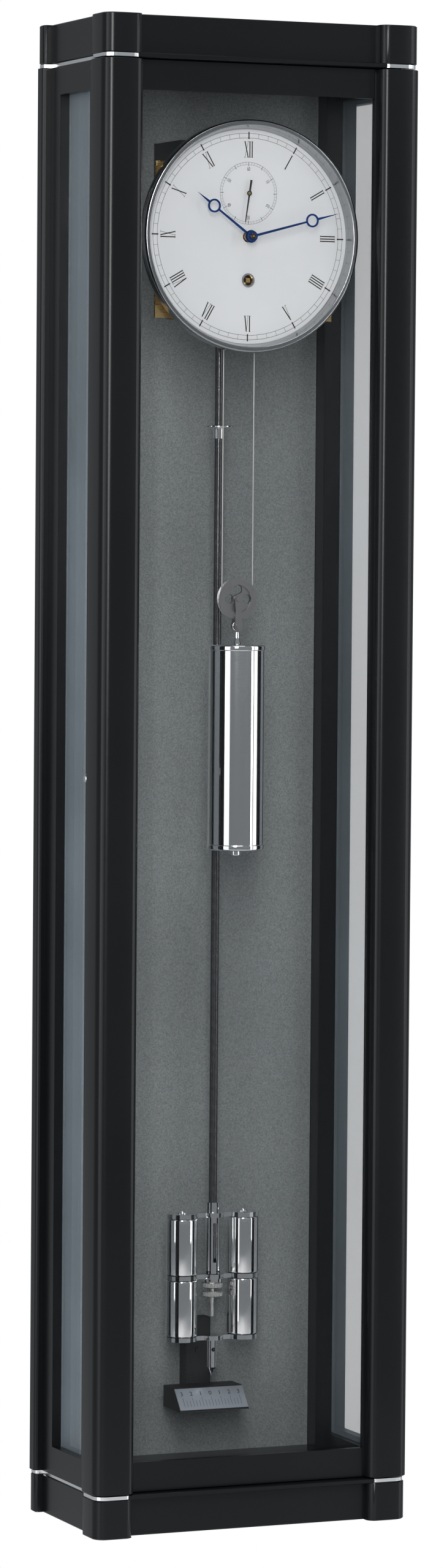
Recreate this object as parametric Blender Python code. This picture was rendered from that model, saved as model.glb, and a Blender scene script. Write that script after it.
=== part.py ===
"""Weight-driven wall regulator clock: lacquered case, glazed door, movement, weight and pendulum.

Metres, +Z up. +X is to the right seen from the front, the front faces -Y and the wall is at +Y.
The model is built up from the middle of its base, and last of all moved so that the origin is
where the hanging plate meets the wall.
"""

import math

import bmesh
import bpy
from mathutils import Matrix, Vector

MM = 0.001
GAP = 0.3 * MM  # left between pieces that touch
SPARE = 1 * MM

# Case, overall
CASE_HEIGHT = 1320 * MM
CASE_WIDTH = 299.4 * MM
CASE_DEPTH = 164 * MM

# Plan of the case: corner posts stand proud of the fascia and of the side panels
POST_PROUD_FRONT = 12.4 * MM
POST_PROUD_SIDE = 7 * MM
POST_WIDTH = 37.7 * MM
POST_DEPTH = 37.4 * MM
POST_INNER_RADIUS = 8 * MM
POST_OUTER_RADIUS = 10 * MM
POST_REAR_RADIUS = 6 * MM
REAR_POST_DEPTH = 17.3 * MM
REAR_POST_FRONT_RADIUS = 3 * MM
REAR_POST_BACK_RADIUS = 6 * MM
CROWN_INSET = 1 * MM
BAND_INSET = 1.8 * MM

# Levels of the case
BLOCK_HEIGHT = 34.1 * MM
BAND_HEIGHT = 3 * MM
FLOOR_RISE = 8.3 * MM
DOOR_PLAY = 1.2 * MM
RAIL_HEIGHT = 25.6 * MM
BAND_WALL = 3 * MM

# Side frames, back and glazing
SIDE_THICKNESS = 17.7 * MM
SIDE_STILE_FRONT = 13.9 * MM
SIDE_STILE_REAR = 24.3 * MM
SIDE_RAIL = 24.9 * MM
SIDE_LIP = 8.4 * MM
SIDE_REBATE = 4 * MM
BACK_THICKNESS = 8 * MM
BACK_RECESS = 12.6 * MM
GLASS_THICKNESS = 3 * MM
DOOR_LIP = 5 * MM
DOOR_LIP_WIDTH = 2 * MM
DOOR_THICKNESS = 20 * MM
DOOR_REBATE = 11 * MM
BEAD_DEPTH = 4 * MM
BEAD_WIDTH = 3.7 * MM
BATTEN_WIDTH = 10 * MM
SEAM = 0.6 * MM

# Hanging plate behind the back panel
HANGER_BELOW_TOP = 80 * MM
HANGER_WIDTH = 46 * MM
HANGER_RISE = 22 * MM
HANGER_DROP = 38 * MM
HANGER_THICKNESS = 3 * MM
HANGER_HOLE_RADIUS = 5 * MM

# Door pivots and latch
PIVOT_RADIUS = 2 * MM
PIVOT_LENGTH = 10 * MM
LATCH_HEIGHT = 660.5 * MM
LATCH_BEHIND_SEAM = 5.5 * MM
LATCH_SHAFT_RADIUS = 2 * MM
LATCH_KNOB_RADIUS = 3.1 * MM
LATCH_PROUD = 4.3 * MM
LATCH_COLLAR_RADIUS = 5 * MM
LATCH_COLLAR_DEPTH = 1.5 * MM
LATCH_WASHER_RADIUS = 3.6 * MM

# Dial
DIAL_BELOW_TOP = 186.8 * MM
DIAL_SETBACK = 22.7 * MM
DIAL_THICKNESS = 1.5 * MM
DIAL_SIDE_CLEARANCE = 8.5 * MM
BEZEL_RIM = 5.2 * MM
BEZEL_LIP = 8.1 * MM
BEZEL_STAND = 11 * MM
FOOT_X = 66 * MM
FOOT_Z = 40 * MM
FOOT_RADIUS = 2.5 * MM
SECONDS_ABOVE = 37.8 * MM
WINDING_BELOW = 38 * MM
HUB_HOLE_RADIUS = 5 * MM
GROMMET_RADIUS = 5.2 * MM
GROMMET_LIP = 0.6 * MM
GROMMET_FLANGE = 0.9 * MM
GROMMET_PROUD = 1 * MM

# Hands, measured in front of the dial
HOUR_HAND_STAND = 6.3 * MM
MINUTE_HAND_STAND = 9.9 * MM
SECOND_HAND_STAND = 1.9 * MM
HAND_THICKNESS = 0.8 * MM
HOUR_HAND_SHORT = 38.6 * MM
MINUTE_HAND_SHORT = 15.3 * MM
HAND_RING_RADIUS = 6 * MM
HAND_RING_WALL = 1.6 * MM
HOUR_RING_AT = 43.5 * MM
MINUTE_RING_AT = 58.7 * MM
SECOND_HAND_LENGTH = 25.2 * MM
SECOND_HAND_TAIL = 11.6 * MM
HOUR_ANGLE = math.radians(306.26)
MINUTE_ANGLE = math.radians(75)
SECOND_ANGLE = math.radians(188.4)
ARM_ROOT = 1.1 * MM
ARM_TIP = 0.8 * MM
HOUR_HUB_RADIUS = 5.6 * MM
MINUTE_HUB_RADIUS = 4.6 * MM
NUT_FOOT_RADIUS = 2.6 * MM
HAND_NUT_HEIGHT = 2 * MM
NUT_STEP = 1.2 * MM
NUT_TOP_RADIUS = 1.8 * MM
SECOND_HUB_RADIUS = 2.2 * MM
SECOND_THICKNESS = 0.5 * MM
SECOND_HALF = 0.9 * MM
SECOND_TIP = 0.35 * MM

# Movement
PLATE_WIDTH = 168 * MM
BACK_PLATE_WIDTH = 112 * MM
PLATE_BELOW_CENTRE = 72 * MM
PLATE_ABOVE_CENTRE = 64 * MM
PLATE_THICKNESS = 2.5 * MM
PLATE_BEHIND_DIAL = 8.3 * MM
PLATE_SPACING = 34.5 * MM
TONGUE_WIDTH = 60 * MM
TONGUE_ABOVE_ANCHOR = 10 * MM
PILLAR_RADIUS = 3.5 * MM
PILLAR_INSET = 9 * MM
ARBOR_RADIUS = 1 * MM
ARBOR_PLAY = 0.35 * MM
DRUM_RADIUS = 14 * MM
DRUM_LENGTH = 14 * MM
DRUM_ARBOR_RADIUS = 3 * MM
DRUM_BORE = 10.5 * MM
DRUM_FLANGE = 16.5 * MM
FLANGE_THICKNESS = 1.5 * MM
SQUARE_HALF = 1.9 * MM
LINE_RADIUS = 0.6 * MM
ARBOR_END = 0.6 * MM
CANNON_BEHIND_DIAL = 5 * MM
CANNON_PIPE_RADIUS = 2.4 * MM
HOUR_PIPE_RADIUS = 4.2 * MM
STUD_END = 1.8 * MM
BRACKET_HALF = 45 * MM
BRACKET_WALL = 8 * MM
BRACKET_BELOW = 40 * MM
BRACKET_TOP_RISE = 14 * MM
ARM_BELOW = 55 * MM
COCK_HALF = 12 * MM
COCK_LUG = 2.5 * MM
COCK_LUG_DROP = 3 * MM
CRUTCH_DROP = 84 * MM
CRUTCH_HALF = 2 * MM
CRUTCH_THICKNESS = 2 * MM
CRUTCH_STANDOFF = 2 * MM
CRUTCH_BOSS_RADIUS = 3.5 * MM
ANCHOR_HUB_RADIUS = 5 * MM
YOKE_WALL = 2 * MM
YOKE_DEPTH = 4 * MM
BRACKET_FLANGE = 4 * MM
STUD_FROM_EDGE = 5 * MM
PALLET_HALF = 1.5 * MM
PALLET_LENGTH = 6 * MM
PALLET_STEP = 0.2 * MM
ARM_HALF = 2.4 * MM

# Gears: teeth of each wheel and pinion, and the modules that set their distances
GREAT_TEETH = 96
CENTRE_LEAVES = 8
CENTRE_TEETH = 64
THIRD_LEAVES = 8
THIRD_TEETH = 60
ESCAPE_LEAVES = 8
ESCAPE_TEETH = 30
CANNON_LEAVES = 12
MINUTE_TEETH = 36
MINUTE_LEAVES = 10
HOUR_TEETH = 40
CENTRE_MODULE = 0.75 * MM
THIRD_MODULE = 0.7 * MM
CANNON_MODULE = 0.5 * MM
ESCAPE_RADIUS = 21.5 * MM
ANCHOR_SPAN_TEETH = 8.5
WHEEL_THICKNESS = 1.5 * MM
PALLET_CLEARANCE = 1.8 * MM
ADDENDUM = 0.8
DEDENDUM = 1.25
ROOT_SHARE = 0.42
TIP_SHARE = 0.16
RIM_WIDTH = 2.2 * MM
SPOKES = 5
SPOKE_WIDTH = 2 * MM
WHEEL_HUB_RADIUS = 3 * MM
WHEEL_CLEARANCE = 0.6 * MM
GREAT_HUB_EXTRA = 1 * MM
LAYER_STEP = 3.5 * MM
PINION_FORE = 1.5 * MM
PINION_AFT = 3 * MM
CANNON_FACE = 2 * MM
LEAF_CLEARANCE = 0.2 * MM
HOUR_TIP_STEP = 0.5 * MM
THIRD_DEPTH = 9 * MM
HUB_LENGTH = 2.4 * MM
BOSS_PROUD = 0.4 * MM
ESCAPE_TOOTH_DEPTH = 3.2 * MM

# Pendulum
PENDULUM_BEHIND_FASCIA = 85 * MM
ROD_RADIUS = 3.75 * MM
ROD_BORE = 0.3 * MM
BOB_HEIGHT = 212 * MM
BOB_CYLINDER_RADIUS = 14 * MM
BOB_CYLINDER_LENGTH = 51 * MM
BOB_GAP = 31 * MM
LINK_THICKNESS = 4 * MM
LINK_BAR = 9 * MM
LINK_CENTRE_RADIUS = 10.4 * MM
BOB_TUBE_RADIUS = 6.6 * MM
BOB_TUBE_WALL = 1.6 * MM
BOB_CHAMFER = 0.6 * MM
LINK_WAIST = 4 * MM
BOB_SLEEVE_RADIUS = 5.85 * MM
NUT_RADIUS = 9.4 * MM
NUT_HEIGHT = 5.4 * MM
STUD_RADIUS = 1.65 * MM
POINTER_RADIUS = 4.3 * MM
POINTER_EYE_RISE = 16 * MM
POINTER_EYE_RADIUS = 1.9 * MM
POINTER_COLLAR = 4.75 * MM
POINTER_LENGTH = 25 * MM
POINTER_CONE = 8 * MM
TRAY_BELOW_DIAL = 165.5 * MM
TRAY_RADIUS = 13.9 * MM
SPRING_LENGTH = 12 * MM
SPRING_HALF = 2.5 * MM
SPRING_THICKNESS = 0.4 * MM
SPRING_PIN_RADIUS = 1.2 * MM
SPRING_PIN_HALF = 6 * MM
PIN_REACH = 8 * MM
SLEEVE_LENGTH = 9 * MM
FLANGE_RADIUS = 8.5 * MM
FLANGE_DROP = 3 * MM
SLOT_HALF = 1.9 * MM
SLOT_MARGIN = 10 * MM
SCREW_DROP = 34 * MM
NUT_GAP = 2.6 * MM
TRAY_COLLAR = 10 * MM
TRAY_THICKNESS = 1.6 * MM

# Weight, pulley and line
WEIGHT_BEHIND_FASCIA = 41 * MM
PULLEY_BELOW_DIAL = 316.6 * MM
PULLEY_RADIUS = 18.2 * MM
PULLEY_THICKNESS = 5 * MM
GROOVE_DEPTH = 3.6 * MM
WEIGHT_RADIUS = 24.6 * MM
CAP_OVERHANG = 0.6 * MM
CAP_HEIGHT = 4.9 * MM
WEIGHT_NUT_RADIUS = 5.3 * MM
WEIGHT_NECK_RADIUS = 5.2 * MM
WEIGHT_SHANK_RADIUS = 2.6 * MM
WEIGHT_NECK_RISE = 7 * MM
PULLEY_HUB_RADIUS = 3.6 * MM
PULLEY_RIM = 1.6 * MM
WEIGHT_LENGTH = 171 * MM
WEIGHT_BELOW_PULLEY = 40.3 * MM
CHEEK_THICKNESS = 1.2 * MM
CHEEK_STAND = 3.2 * MM
CHEEK_END = 4 * MM
CHEEK_WAIST = 2.5 * MM
STIRRUP_LENGTH = 24.1 * MM
TIE_RADIUS = 2.7 * MM
PIN_RADIUS = 1.6 * MM
EYE_RADIUS = 5 * MM
EYE_THICKNESS = 4 * MM
WEB_THICKNESS = 3 * MM
WEB_HOLE_RADIUS = 4.3 * MM
WEB_HOLE_AT = 8.3 * MM
STUD_X = 14.6 * MM
HEAD_PROUD = 1 * MM
NUT_DROP = 5 * MM

# Beat scale
SCALE_WIDTH = 66.6 * MM
SCALE_HEIGHT = 19.3 * MM
SCALE_TOP_DEPTH = 22 * MM
SCALE_FOOT_DEPTH = 39 * MM
SCALE_BELOW_POINTER = 11 * MM
SCALE_BRACKET_WIDTH = 23.4 * MM
SCALE_BRACKET_RISE = 59 * MM
SCALE_PLATE_THICKNESS = 0.8 * MM
SCALE_BRACKET_THICKNESS = 15 * MM
SCALE_SCREW_RADIUS = 3 * MM
SCALE_SCREW_HEAD = 1.5 * MM
SCALE_MARGIN = 1 * MM

# Derived planes
HALF_WIDTH = CASE_WIDTH / 2
FRONT_Y = -CASE_DEPTH / 2
WALL_Y = CASE_DEPTH / 2
FASCIA_Y = FRONT_Y + POST_PROUD_FRONT
DOOR_BACK_Y = FRONT_Y + POST_DEPTH
SIDE_FRONT_Y = DOOR_BACK_Y + SEAM
REAR_POST_Y = WALL_Y - REAR_POST_DEPTH
SIDE_X = HALF_WIDTH - POST_PROUD_SIDE
INNER_X = SIDE_X - SIDE_THICKNESS
POST_X = HALF_WIDTH - POST_WIDTH
OPENING_X = POST_X - DOOR_LIP_WIDTH
BACK_Y = WALL_Y - BACK_RECESS - BACK_THICKNESS
BATTEN_X = INNER_X - BATTEN_WIDTH
BATTEN_Y = REAR_POST_Y - SIDE_STILE_REAR + SIDE_REBATE
BAND_Z = BLOCK_HEIGHT + GAP
SIDE_FOOT_Z = BAND_Z + BAND_HEIGHT + GAP
FLOOR_Z = SIDE_FOOT_Z + FLOOR_RISE
DOOR_FOOT_Z = BAND_Z + BAND_HEIGHT + DOOR_PLAY
OPENING_FOOT_Z = DOOR_FOOT_Z + RAIL_HEIGHT


def from_top(z):
    """The level as far below the top as z is above the base."""
    return CASE_HEIGHT - z


# Derived places of the works
DIAL_Z = CASE_HEIGHT - DIAL_BELOW_TOP
DIAL_Y = FASCIA_Y + DIAL_SETBACK
BEZEL_RADIUS = OPENING_X - DIAL_SIDE_CLEARANCE
BEZEL_CHAMFER = 1 * MM
DIAL_RADIUS = BEZEL_RADIUS - 2.2 * MM
FRONT_PLATE_Y = DIAL_Y + PLATE_BEHIND_DIAL
TRAIN_Y = FRONT_PLATE_Y + PLATE_THICKNESS
BACK_PLATE_Y = TRAIN_Y + PLATE_SPACING
CENTRE = (0.0, DIAL_Z)
WINDING = (0.0, DIAL_Z - WINDING_BELOW)
ESCAPE = (0.0, DIAL_Z + SECONDS_ABOVE)
ANCHOR_DISTANCE = ESCAPE_RADIUS / math.cos(ANCHOR_SPAN_TEETH * math.pi / ESCAPE_TEETH)
ANCHOR_Z = ESCAPE[1] + ANCHOR_DISTANCE
GREAT_MODULE = 2 * WINDING_BELOW / (GREAT_TEETH + CENTRE_LEAVES)
CENTRE_TO_THIRD = CENTRE_MODULE * (CENTRE_TEETH + THIRD_LEAVES) / 2
THIRD_TO_ESCAPE = THIRD_MODULE * (THIRD_TEETH + ESCAPE_LEAVES) / 2
CANNON_TO_MINUTE = CANNON_MODULE * (CANNON_LEAVES + MINUTE_TEETH) / 2
HOUR_MODULE = 2 * CANNON_TO_MINUTE / (MINUTE_LEAVES + HOUR_TEETH)
PENDULUM_Y = FASCIA_Y + PENDULUM_BEHIND_FASCIA
WEIGHT_Y = FASCIA_Y + WEIGHT_BEHIND_FASCIA
PULLEY_Z = DIAL_Z - PULLEY_BELOW_DIAL
GROOVE_RADIUS = PULLEY_RADIUS - GROOVE_DEPTH
BOB_X = BOB_CYLINDER_RADIUS + BOB_GAP / 2
BOB_PITCH = BOB_CYLINDER_LENGTH + LINK_THICKNESS
PIVOT_X = HALF_WIDTH - POST_REAR_RADIUS
PIVOT_Y = DOOR_BACK_Y - POST_REAR_RADIUS
LATCH_Y = SIDE_FRONT_Y + LATCH_BEHIND_SEAM
LATCH_HEAD = 2 * MM
LATCH_INSET = 1 * MM
LATCH_TAIL = 1.5 * MM
HANGER_Z = CASE_HEIGHT - HANGER_BELOW_TOP


def third_arbor():
    """Where the third arbor stands: at its two gear distances from the centre and escape arbors."""
    rise = (CENTRE_TO_THIRD**2 - THIRD_TO_ESCAPE**2 + SECONDS_ABOVE**2) / (2 * SECONDS_ABOVE)
    return (math.sqrt(CENTRE_TO_THIRD**2 - rise**2), DIAL_Z + rise)


def minute_arbor():
    """The minute wheel's stud, down to the right of the centre."""
    reach = CANNON_TO_MINUTE * math.cos(math.radians(45))
    return (reach, DIAL_Z - reach)


THIRD = third_arbor()
MINUTE = minute_arbor()

# Finishes: base colour, roughness, metallic, alpha
BLACK_LACQUER = ((0.012, 0.013, 0.015), 0.28, 0.0, 1.0)
ALUMINIUM = ((0.83, 0.84, 0.85), 0.25, 1.0, 1.0)
GLASS = ((0.92, 0.95, 0.96), 0.03, 0.0, 0.2)
GREY_PANEL = ((0.17, 0.19, 0.19), 0.55, 0.1, 1.0)
BRASS = ((0.78, 0.57, 0.25), 0.28, 1.0, 1.0)
STEEL = ((0.5, 0.51, 0.53), 0.3, 1.0, 1.0)
CHROME = ((0.86, 0.87, 0.88), 0.06, 1.0, 1.0)
BLUED_STEEL = ((0.01, 0.035, 0.13), 0.25, 0.8, 1.0)
SILVER_DIAL = ((0.83, 0.84, 0.85), 0.4, 0.1, 1.0)
CARBON = ((0.02, 0.021, 0.024), 0.22, 0.0, 1.0)
BLACK_METAL = ((0.01, 0.01, 0.011), 0.5, 0.2, 1.0)
BRONZE = ((0.22, 0.13, 0.07), 0.3, 1.0, 1.0)
LINE_GREY = ((0.55, 0.56, 0.55), 0.5, 0.3, 1.0)


# Building tools


def arc(centre, radius, start, end, steps):
    """Points along an arc, angles in degrees, both ends included."""
    turns = (math.radians(start + (end - start) * i / steps) for i in range(steps + 1))
    return [(centre[0] + radius * math.cos(a), centre[1] + radius * math.sin(a)) for a in turns]


def circle(centre, radius, steps=24):
    return arc(centre, radius, 0, 360 * (steps - 1) / steps, steps - 1)


def rectangle(x0, x1, y0, y1):
    return [(x0, y0), (x1, y0), (x1, y1), (x0, y1)]


def mirrored(points):
    return [(-x, y) for x, y in reversed(points)]


def world_point(axis, u, v, along):
    """The two coordinates across an axis, in X, Y, Z order, and the one along it."""
    return {"X": (along, u, v), "Y": (u, along, v), "Z": (u, v, along)}[axis]


def new_object(name, bm):
    bmesh.ops.recalc_face_normals(bm, faces=bm.faces)
    mesh = bpy.data.meshes.new(name)
    bm.to_mesh(mesh)
    bm.free()
    obj = bpy.data.objects.new(name, mesh)
    bpy.context.scene.collection.objects.link(obj)
    return obj


def prism(name, axis, low, high, outline, holes=()):
    """An outline, with any holes in it, extruded along an axis."""
    bm = bmesh.new()
    edges = []
    for loop in [outline, *holes]:
        ring = [bm.verts.new(world_point(axis, u, v, low)) for u, v in loop]
        edges += [bm.edges.new((a, b)) for a, b in zip(ring, ring[1:] + ring[:1])]
    bmesh.ops.triangle_fill(bm, use_beauty=True, use_dissolve=False, edges=edges)
    made = bmesh.ops.extrude_face_region(bm, geom=list(bm.faces))
    lifted = [item for item in made["geom"] if isinstance(item, bmesh.types.BMVert)]
    bmesh.ops.translate(bm, vec=world_point(axis, 0.0, 0.0, high - low), verts=lifted)
    return new_object(name, bm)


def box(name, x, y, z):
    return prism(name, "Z", z[0], z[1], rectangle(x[0], x[1], y[0], y[1]))


def turned(name, axis, centre, profile, steps=24, ring=False):
    """A profile of (radius, place along the axis) turned about the axis; a ring closes on itself."""
    bm = bmesh.new()
    rows = []
    for radius, along in profile:
        count = 1 if radius == 0 else steps
        angles = [2 * math.pi * i / steps for i in range(count)]
        rows.append([
            bm.verts.new(world_point(
                axis, centre[0] + radius * math.cos(a), centre[1] + radius * math.sin(a), along))
            for a in angles
        ])
    pairs = list(zip(rows, rows[1:] + rows[:1] if ring else rows[1:]))
    for near, far in pairs:
        for i in range(steps):
            j = (i + 1) % steps
            corners = [near[i % len(near)], near[j % len(near)], far[j % len(far)], far[i % len(far)]]
            face = list(dict.fromkeys(corners))
            if len(face) > 2:
                bm.faces.new(face)
    return new_object(name, bm)


def rod(name, axis, centre, radius, low, high, steps=16):
    return turned(name, axis, centre, [(0, low), (radius, low), (radius, high), (0, high)], steps)


def tube(name, axis, centre, bore, radius, low, high, steps=24):
    profile = [(bore, low), (radius, low), (radius, high), (bore, high)]
    return turned(name, axis, centre, profile, steps, ring=True)


def combine(obj, operation, others):
    """Joins or cuts the object with one hidden helper made of all the others, which moves with it."""
    bm = bmesh.new()
    for other in others:
        bm.from_mesh(other.data)
        bpy.data.objects.remove(other)
    helper = new_object(f"{obj.name}.{operation.lower()}", bm)
    helper.hide_render = True
    helper.display_type = "WIRE"
    helper.parent = obj
    modifier = obj.modifiers.new(helper.name, "BOOLEAN")
    modifier.operation = operation
    modifier.object = helper
    modifier.use_self = len(others) > 1
    return obj


def joined(obj, *others):
    return combine(obj, "UNION", others)


def cut(obj, *others):
    return combine(obj, "DIFFERENCE", others)


def finish(obj, look, round_piece=False):
    """Gives the piece its own material, and shades a round one smooth."""
    colour, roughness, metallic, alpha = look
    material = bpy.data.materials.new(obj.name)
    material.use_nodes = True
    shader = material.node_tree.nodes["Principled BSDF"]
    shader.inputs["Base Color"].default_value = (*colour, 1.0)
    shader.inputs["Roughness"].default_value = roughness
    shader.inputs["Metallic"].default_value = metallic
    shader.inputs["Alpha"].default_value = alpha
    obj.data.materials.append(material)
    if round_piece:
        obj.data.shade_smooth()
        obj.data.set_sharp_from_angle(angle=math.radians(35))
    return obj


def body(name, origin):
    """The empty on a moving body's joint axis, which its pieces are parented to."""
    empty = bpy.data.objects.new(f"body.{name}", None)
    empty.location = origin
    bpy.context.scene.collection.objects.link(empty)
    return empty


def attach(empty, *pieces):
    """Parents pieces modelled in place, moving each one's own origin to the empty."""
    back = Matrix.Translation(-Vector(empty.location))
    for piece in pieces:
        for member in [piece, *piece.children]:
            member.data.transform(back)
        piece.parent = empty


# Case


def half_outline(inset):
    """The right half of the case's plan, from the middle of the front to the middle of the back."""
    outer = HALF_WIDTH - inset
    front = FRONT_Y + inset
    side = SIDE_X - inset
    rear = REAR_POST_Y + inset
    post = POST_X + inset
    points = [(post, FASCIA_Y + inset)]
    points += arc((post + POST_INNER_RADIUS, front + POST_INNER_RADIUS), POST_INNER_RADIUS, 180, 270, 5)
    points += arc((outer - POST_OUTER_RADIUS, front + POST_OUTER_RADIUS), POST_OUTER_RADIUS, 270, 360, 5)
    hub = (outer - POST_REAR_RADIUS, PIVOT_Y)
    reach = math.degrees(math.acos((side - hub[0]) / POST_REAR_RADIUS))
    points += arc(hub, POST_REAR_RADIUS, 0, reach, 5)
    points += [(side, rear)]
    lower = REAR_POST_FRONT_RADIUS
    points += arc((outer - lower, rear + lower), lower, 270, 360, 3)
    points += arc((outer - REAR_POST_BACK_RADIUS, WALL_Y - REAR_POST_BACK_RADIUS),
                  REAR_POST_BACK_RADIUS, 0, 90, 4)
    return points


def case_outline(inset):
    half = half_outline(inset)
    return half + mirrored(half)


def band_opening(play):
    """The opening of a band, which the core of the block next to it fills."""
    half = SIDE_X - BAND_INSET - BAND_WALL - play
    return rectangle(-half, half, FASCIA_Y + BAND_INSET + BAND_WALL + play, WALL_Y - BAND_WALL - play)


def pivot_place():
    return (PIVOT_X, PIVOT_Y)


def end_block(name, block, core, board):
    """A base or crown: the moulded block, the core inside its band, and the board inside the case."""
    obj = prism(name, "Z", block[0], block[1], case_outline(CROWN_INSET))
    bore = rod("bore", "Z", pivot_place(), PIVOT_RADIUS + GAP, core[0] - PIVOT_LENGTH,
               core[1] + PIVOT_LENGTH, 12)
    middle = prism("core", "Z", core[0], core[1], band_opening(GAP))
    inside = [(INNER_X - GAP, SIDE_FRONT_Y), (INNER_X - GAP, BATTEN_Y - GAP),
              (BATTEN_X - GAP, BATTEN_Y - GAP),
              (BATTEN_X - GAP, BACK_Y - GAP)]
    joined(obj, middle, prism("board", "Z", board[0], board[1], inside + mirrored(inside)))
    cut(obj, bore)
    return finish(obj, BLACK_LACQUER)


def make_ends():
    overlap = SPARE
    band_top = BAND_Z + BAND_HEIGHT
    for name, level in (("base", lambda z: z), ("crown", from_top)):
        spans = ((0, BLOCK_HEIGHT), (BLOCK_HEIGHT - overlap, band_top), (band_top - overlap, FLOOR_Z))
        block, core, board = (sorted((level(low), level(high))) for low, high in spans)
        end_block(f"{name}_block", block, core, board)
        low, high = sorted((level(BAND_Z), level(band_top)))
        band = prism(f"{name}_band", "Z", low, high, case_outline(BAND_INSET), [band_opening(0)])
        cut(band, rod("bore", "Z", pivot_place(), PIVOT_RADIUS + GAP, low - overlap, high + overlap, 12))
        finish(band, ALUMINIUM)
        tip = level(DOOR_FOOT_Z + PIVOT_LENGTH - GAP)
        root = level(BAND_Z - PIVOT_LENGTH + GAP)
        side = "lower" if name == "base" else "upper"
        pin = rod(f"door_pivot_{side}", "Z", pivot_place(), PIVOT_RADIUS, min(root, tip), max(root, tip), 12)
        finish(pin, STEEL, round_piece=True)


def side_outline():
    """The right side frame's plan, with its rear post and the batten in front of it."""
    lower = REAR_POST_FRONT_RADIUS
    points = [(INNER_X, SIDE_FRONT_Y), (SIDE_X, SIDE_FRONT_Y), (SIDE_X, REAR_POST_Y)]
    points += arc((HALF_WIDTH - lower, REAR_POST_Y + lower), lower, 270, 360, 3)
    points += arc((HALF_WIDTH - REAR_POST_BACK_RADIUS, WALL_Y - REAR_POST_BACK_RADIUS),
                  REAR_POST_BACK_RADIUS, 0, 90, 4)
    return points + [(BATTEN_X, WALL_Y), (BATTEN_X, BATTEN_Y), (INNER_X, BATTEN_Y)]


def make_sides():
    window_y = (SIDE_FRONT_Y + SIDE_STILE_FRONT, REAR_POST_Y - SIDE_STILE_REAR)
    window_z = (SIDE_FOOT_Z + SIDE_RAIL, from_top(SIDE_FOOT_Z + SIDE_RAIL))
    glass_y = (window_y[0] - SIDE_REBATE, window_y[1] + SIDE_REBATE)
    glass_z = (window_z[0] - SIDE_REBATE, window_z[1] + SIDE_REBATE)
    lip_x = SIDE_X - SIDE_LIP
    for side, sign in (("left", -1), ("right", 1)):
        outline = side_outline() if sign > 0 else mirrored(side_outline())
        frame = prism(f"side_frame_{side}", "Z", SIDE_FOOT_Z, from_top(SIDE_FOOT_Z), outline)
        through = sorted((sign * (INNER_X - SIDE_THICKNESS), sign * (SIDE_X + SIDE_THICKNESS)))
        inner = sorted((sign * (INNER_X - SIDE_THICKNESS), sign * lip_x))
        cuts = [box("window", through, window_y, window_z), box("rebate", inner, glass_y, glass_z)]
        if sign < 0:
            hole = LATCH_SHAFT_RADIUS + GAP
            cuts.append(rod("bore", "X", (LATCH_Y, LATCH_HEIGHT), hole, through[0], through[1], 12))
        finish(cut(frame, *cuts), BLACK_LACQUER)
        pane_x = sorted((sign * (lip_x - GAP), sign * (lip_x - GAP - GLASS_THICKNESS)))
        pane = box(f"side_glass_{side}", pane_x, (glass_y[0] + GAP, glass_y[1] - GAP),
                   (glass_z[0] + GAP, glass_z[1] - GAP))
        finish(pane, GLASS)


def make_back():
    panel = box("back_panel", (GAP - BATTEN_X, BATTEN_X - GAP), (BACK_Y, BACK_Y + BACK_THICKNESS),
                (SIDE_FOOT_Z, from_top(SIDE_FOOT_Z)))
    finish(panel, GREY_PANEL)
    # A plate behind the panel takes the wall screw.
    hole = circle((0, HANGER_Z), HANGER_HOLE_RADIUS, 16)
    plate = rectangle(-HANGER_WIDTH / 2, HANGER_WIDTH / 2, HANGER_Z - HANGER_DROP, HANGER_Z + HANGER_RISE)
    low = BACK_Y + BACK_THICKNESS + GAP
    finish(prism("wall_hanger", "Y", low, low + HANGER_THICKNESS, plate, [hole]), STEEL)


# Door


def post_outline():
    """The right door post's plan, with the lip and the rebate that hold the glass."""
    rebate_x = OPENING_X + DOOR_REBATE
    points = [(OPENING_X, FASCIA_Y), (POST_X, FASCIA_Y)]
    points += arc((POST_X + POST_INNER_RADIUS, FRONT_Y + POST_INNER_RADIUS), POST_INNER_RADIUS, 180, 270, 5)
    points += arc((HALF_WIDTH - POST_OUTER_RADIUS, FRONT_Y + POST_OUTER_RADIUS), POST_OUTER_RADIUS, 270,
                  360, 5)
    points += arc(pivot_place(), POST_REAR_RADIUS, 0, 90, 5)
    return points + [(rebate_x, DOOR_BACK_Y), (rebate_x, FASCIA_Y + DOOR_LIP),
                     (OPENING_X, FASCIA_Y + DOOR_LIP)]


def make_rail(name, level):
    """A door rail: its front lip runs between the posts, and its back runs between their rebates."""
    step = FASCIA_Y + DOOR_LIP
    lip_z = sorted((level(DOOR_FOOT_Z), level(OPENING_FOOT_Z)))
    back_z = sorted((level(DOOR_FOOT_Z + GAP), level(OPENING_FOOT_Z - DOOR_REBATE)))
    lip_x = OPENING_X - GAP
    back_x = OPENING_X + DOOR_REBATE - GAP
    rail = box(name, (-lip_x, lip_x), (FASCIA_Y, step), lip_z)
    back = box("back", (-back_x, back_x), (step + GAP, FASCIA_Y + DOOR_THICKNESS), back_z)
    bridge = box("bridge", (GAP - lip_x, lip_x - GAP), (step - GAP, step + 2 * GAP),
                 (back_z[0] + GAP, back_z[1] - GAP))
    return finish(joined(rail, back, bridge), BLACK_LACQUER)


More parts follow.
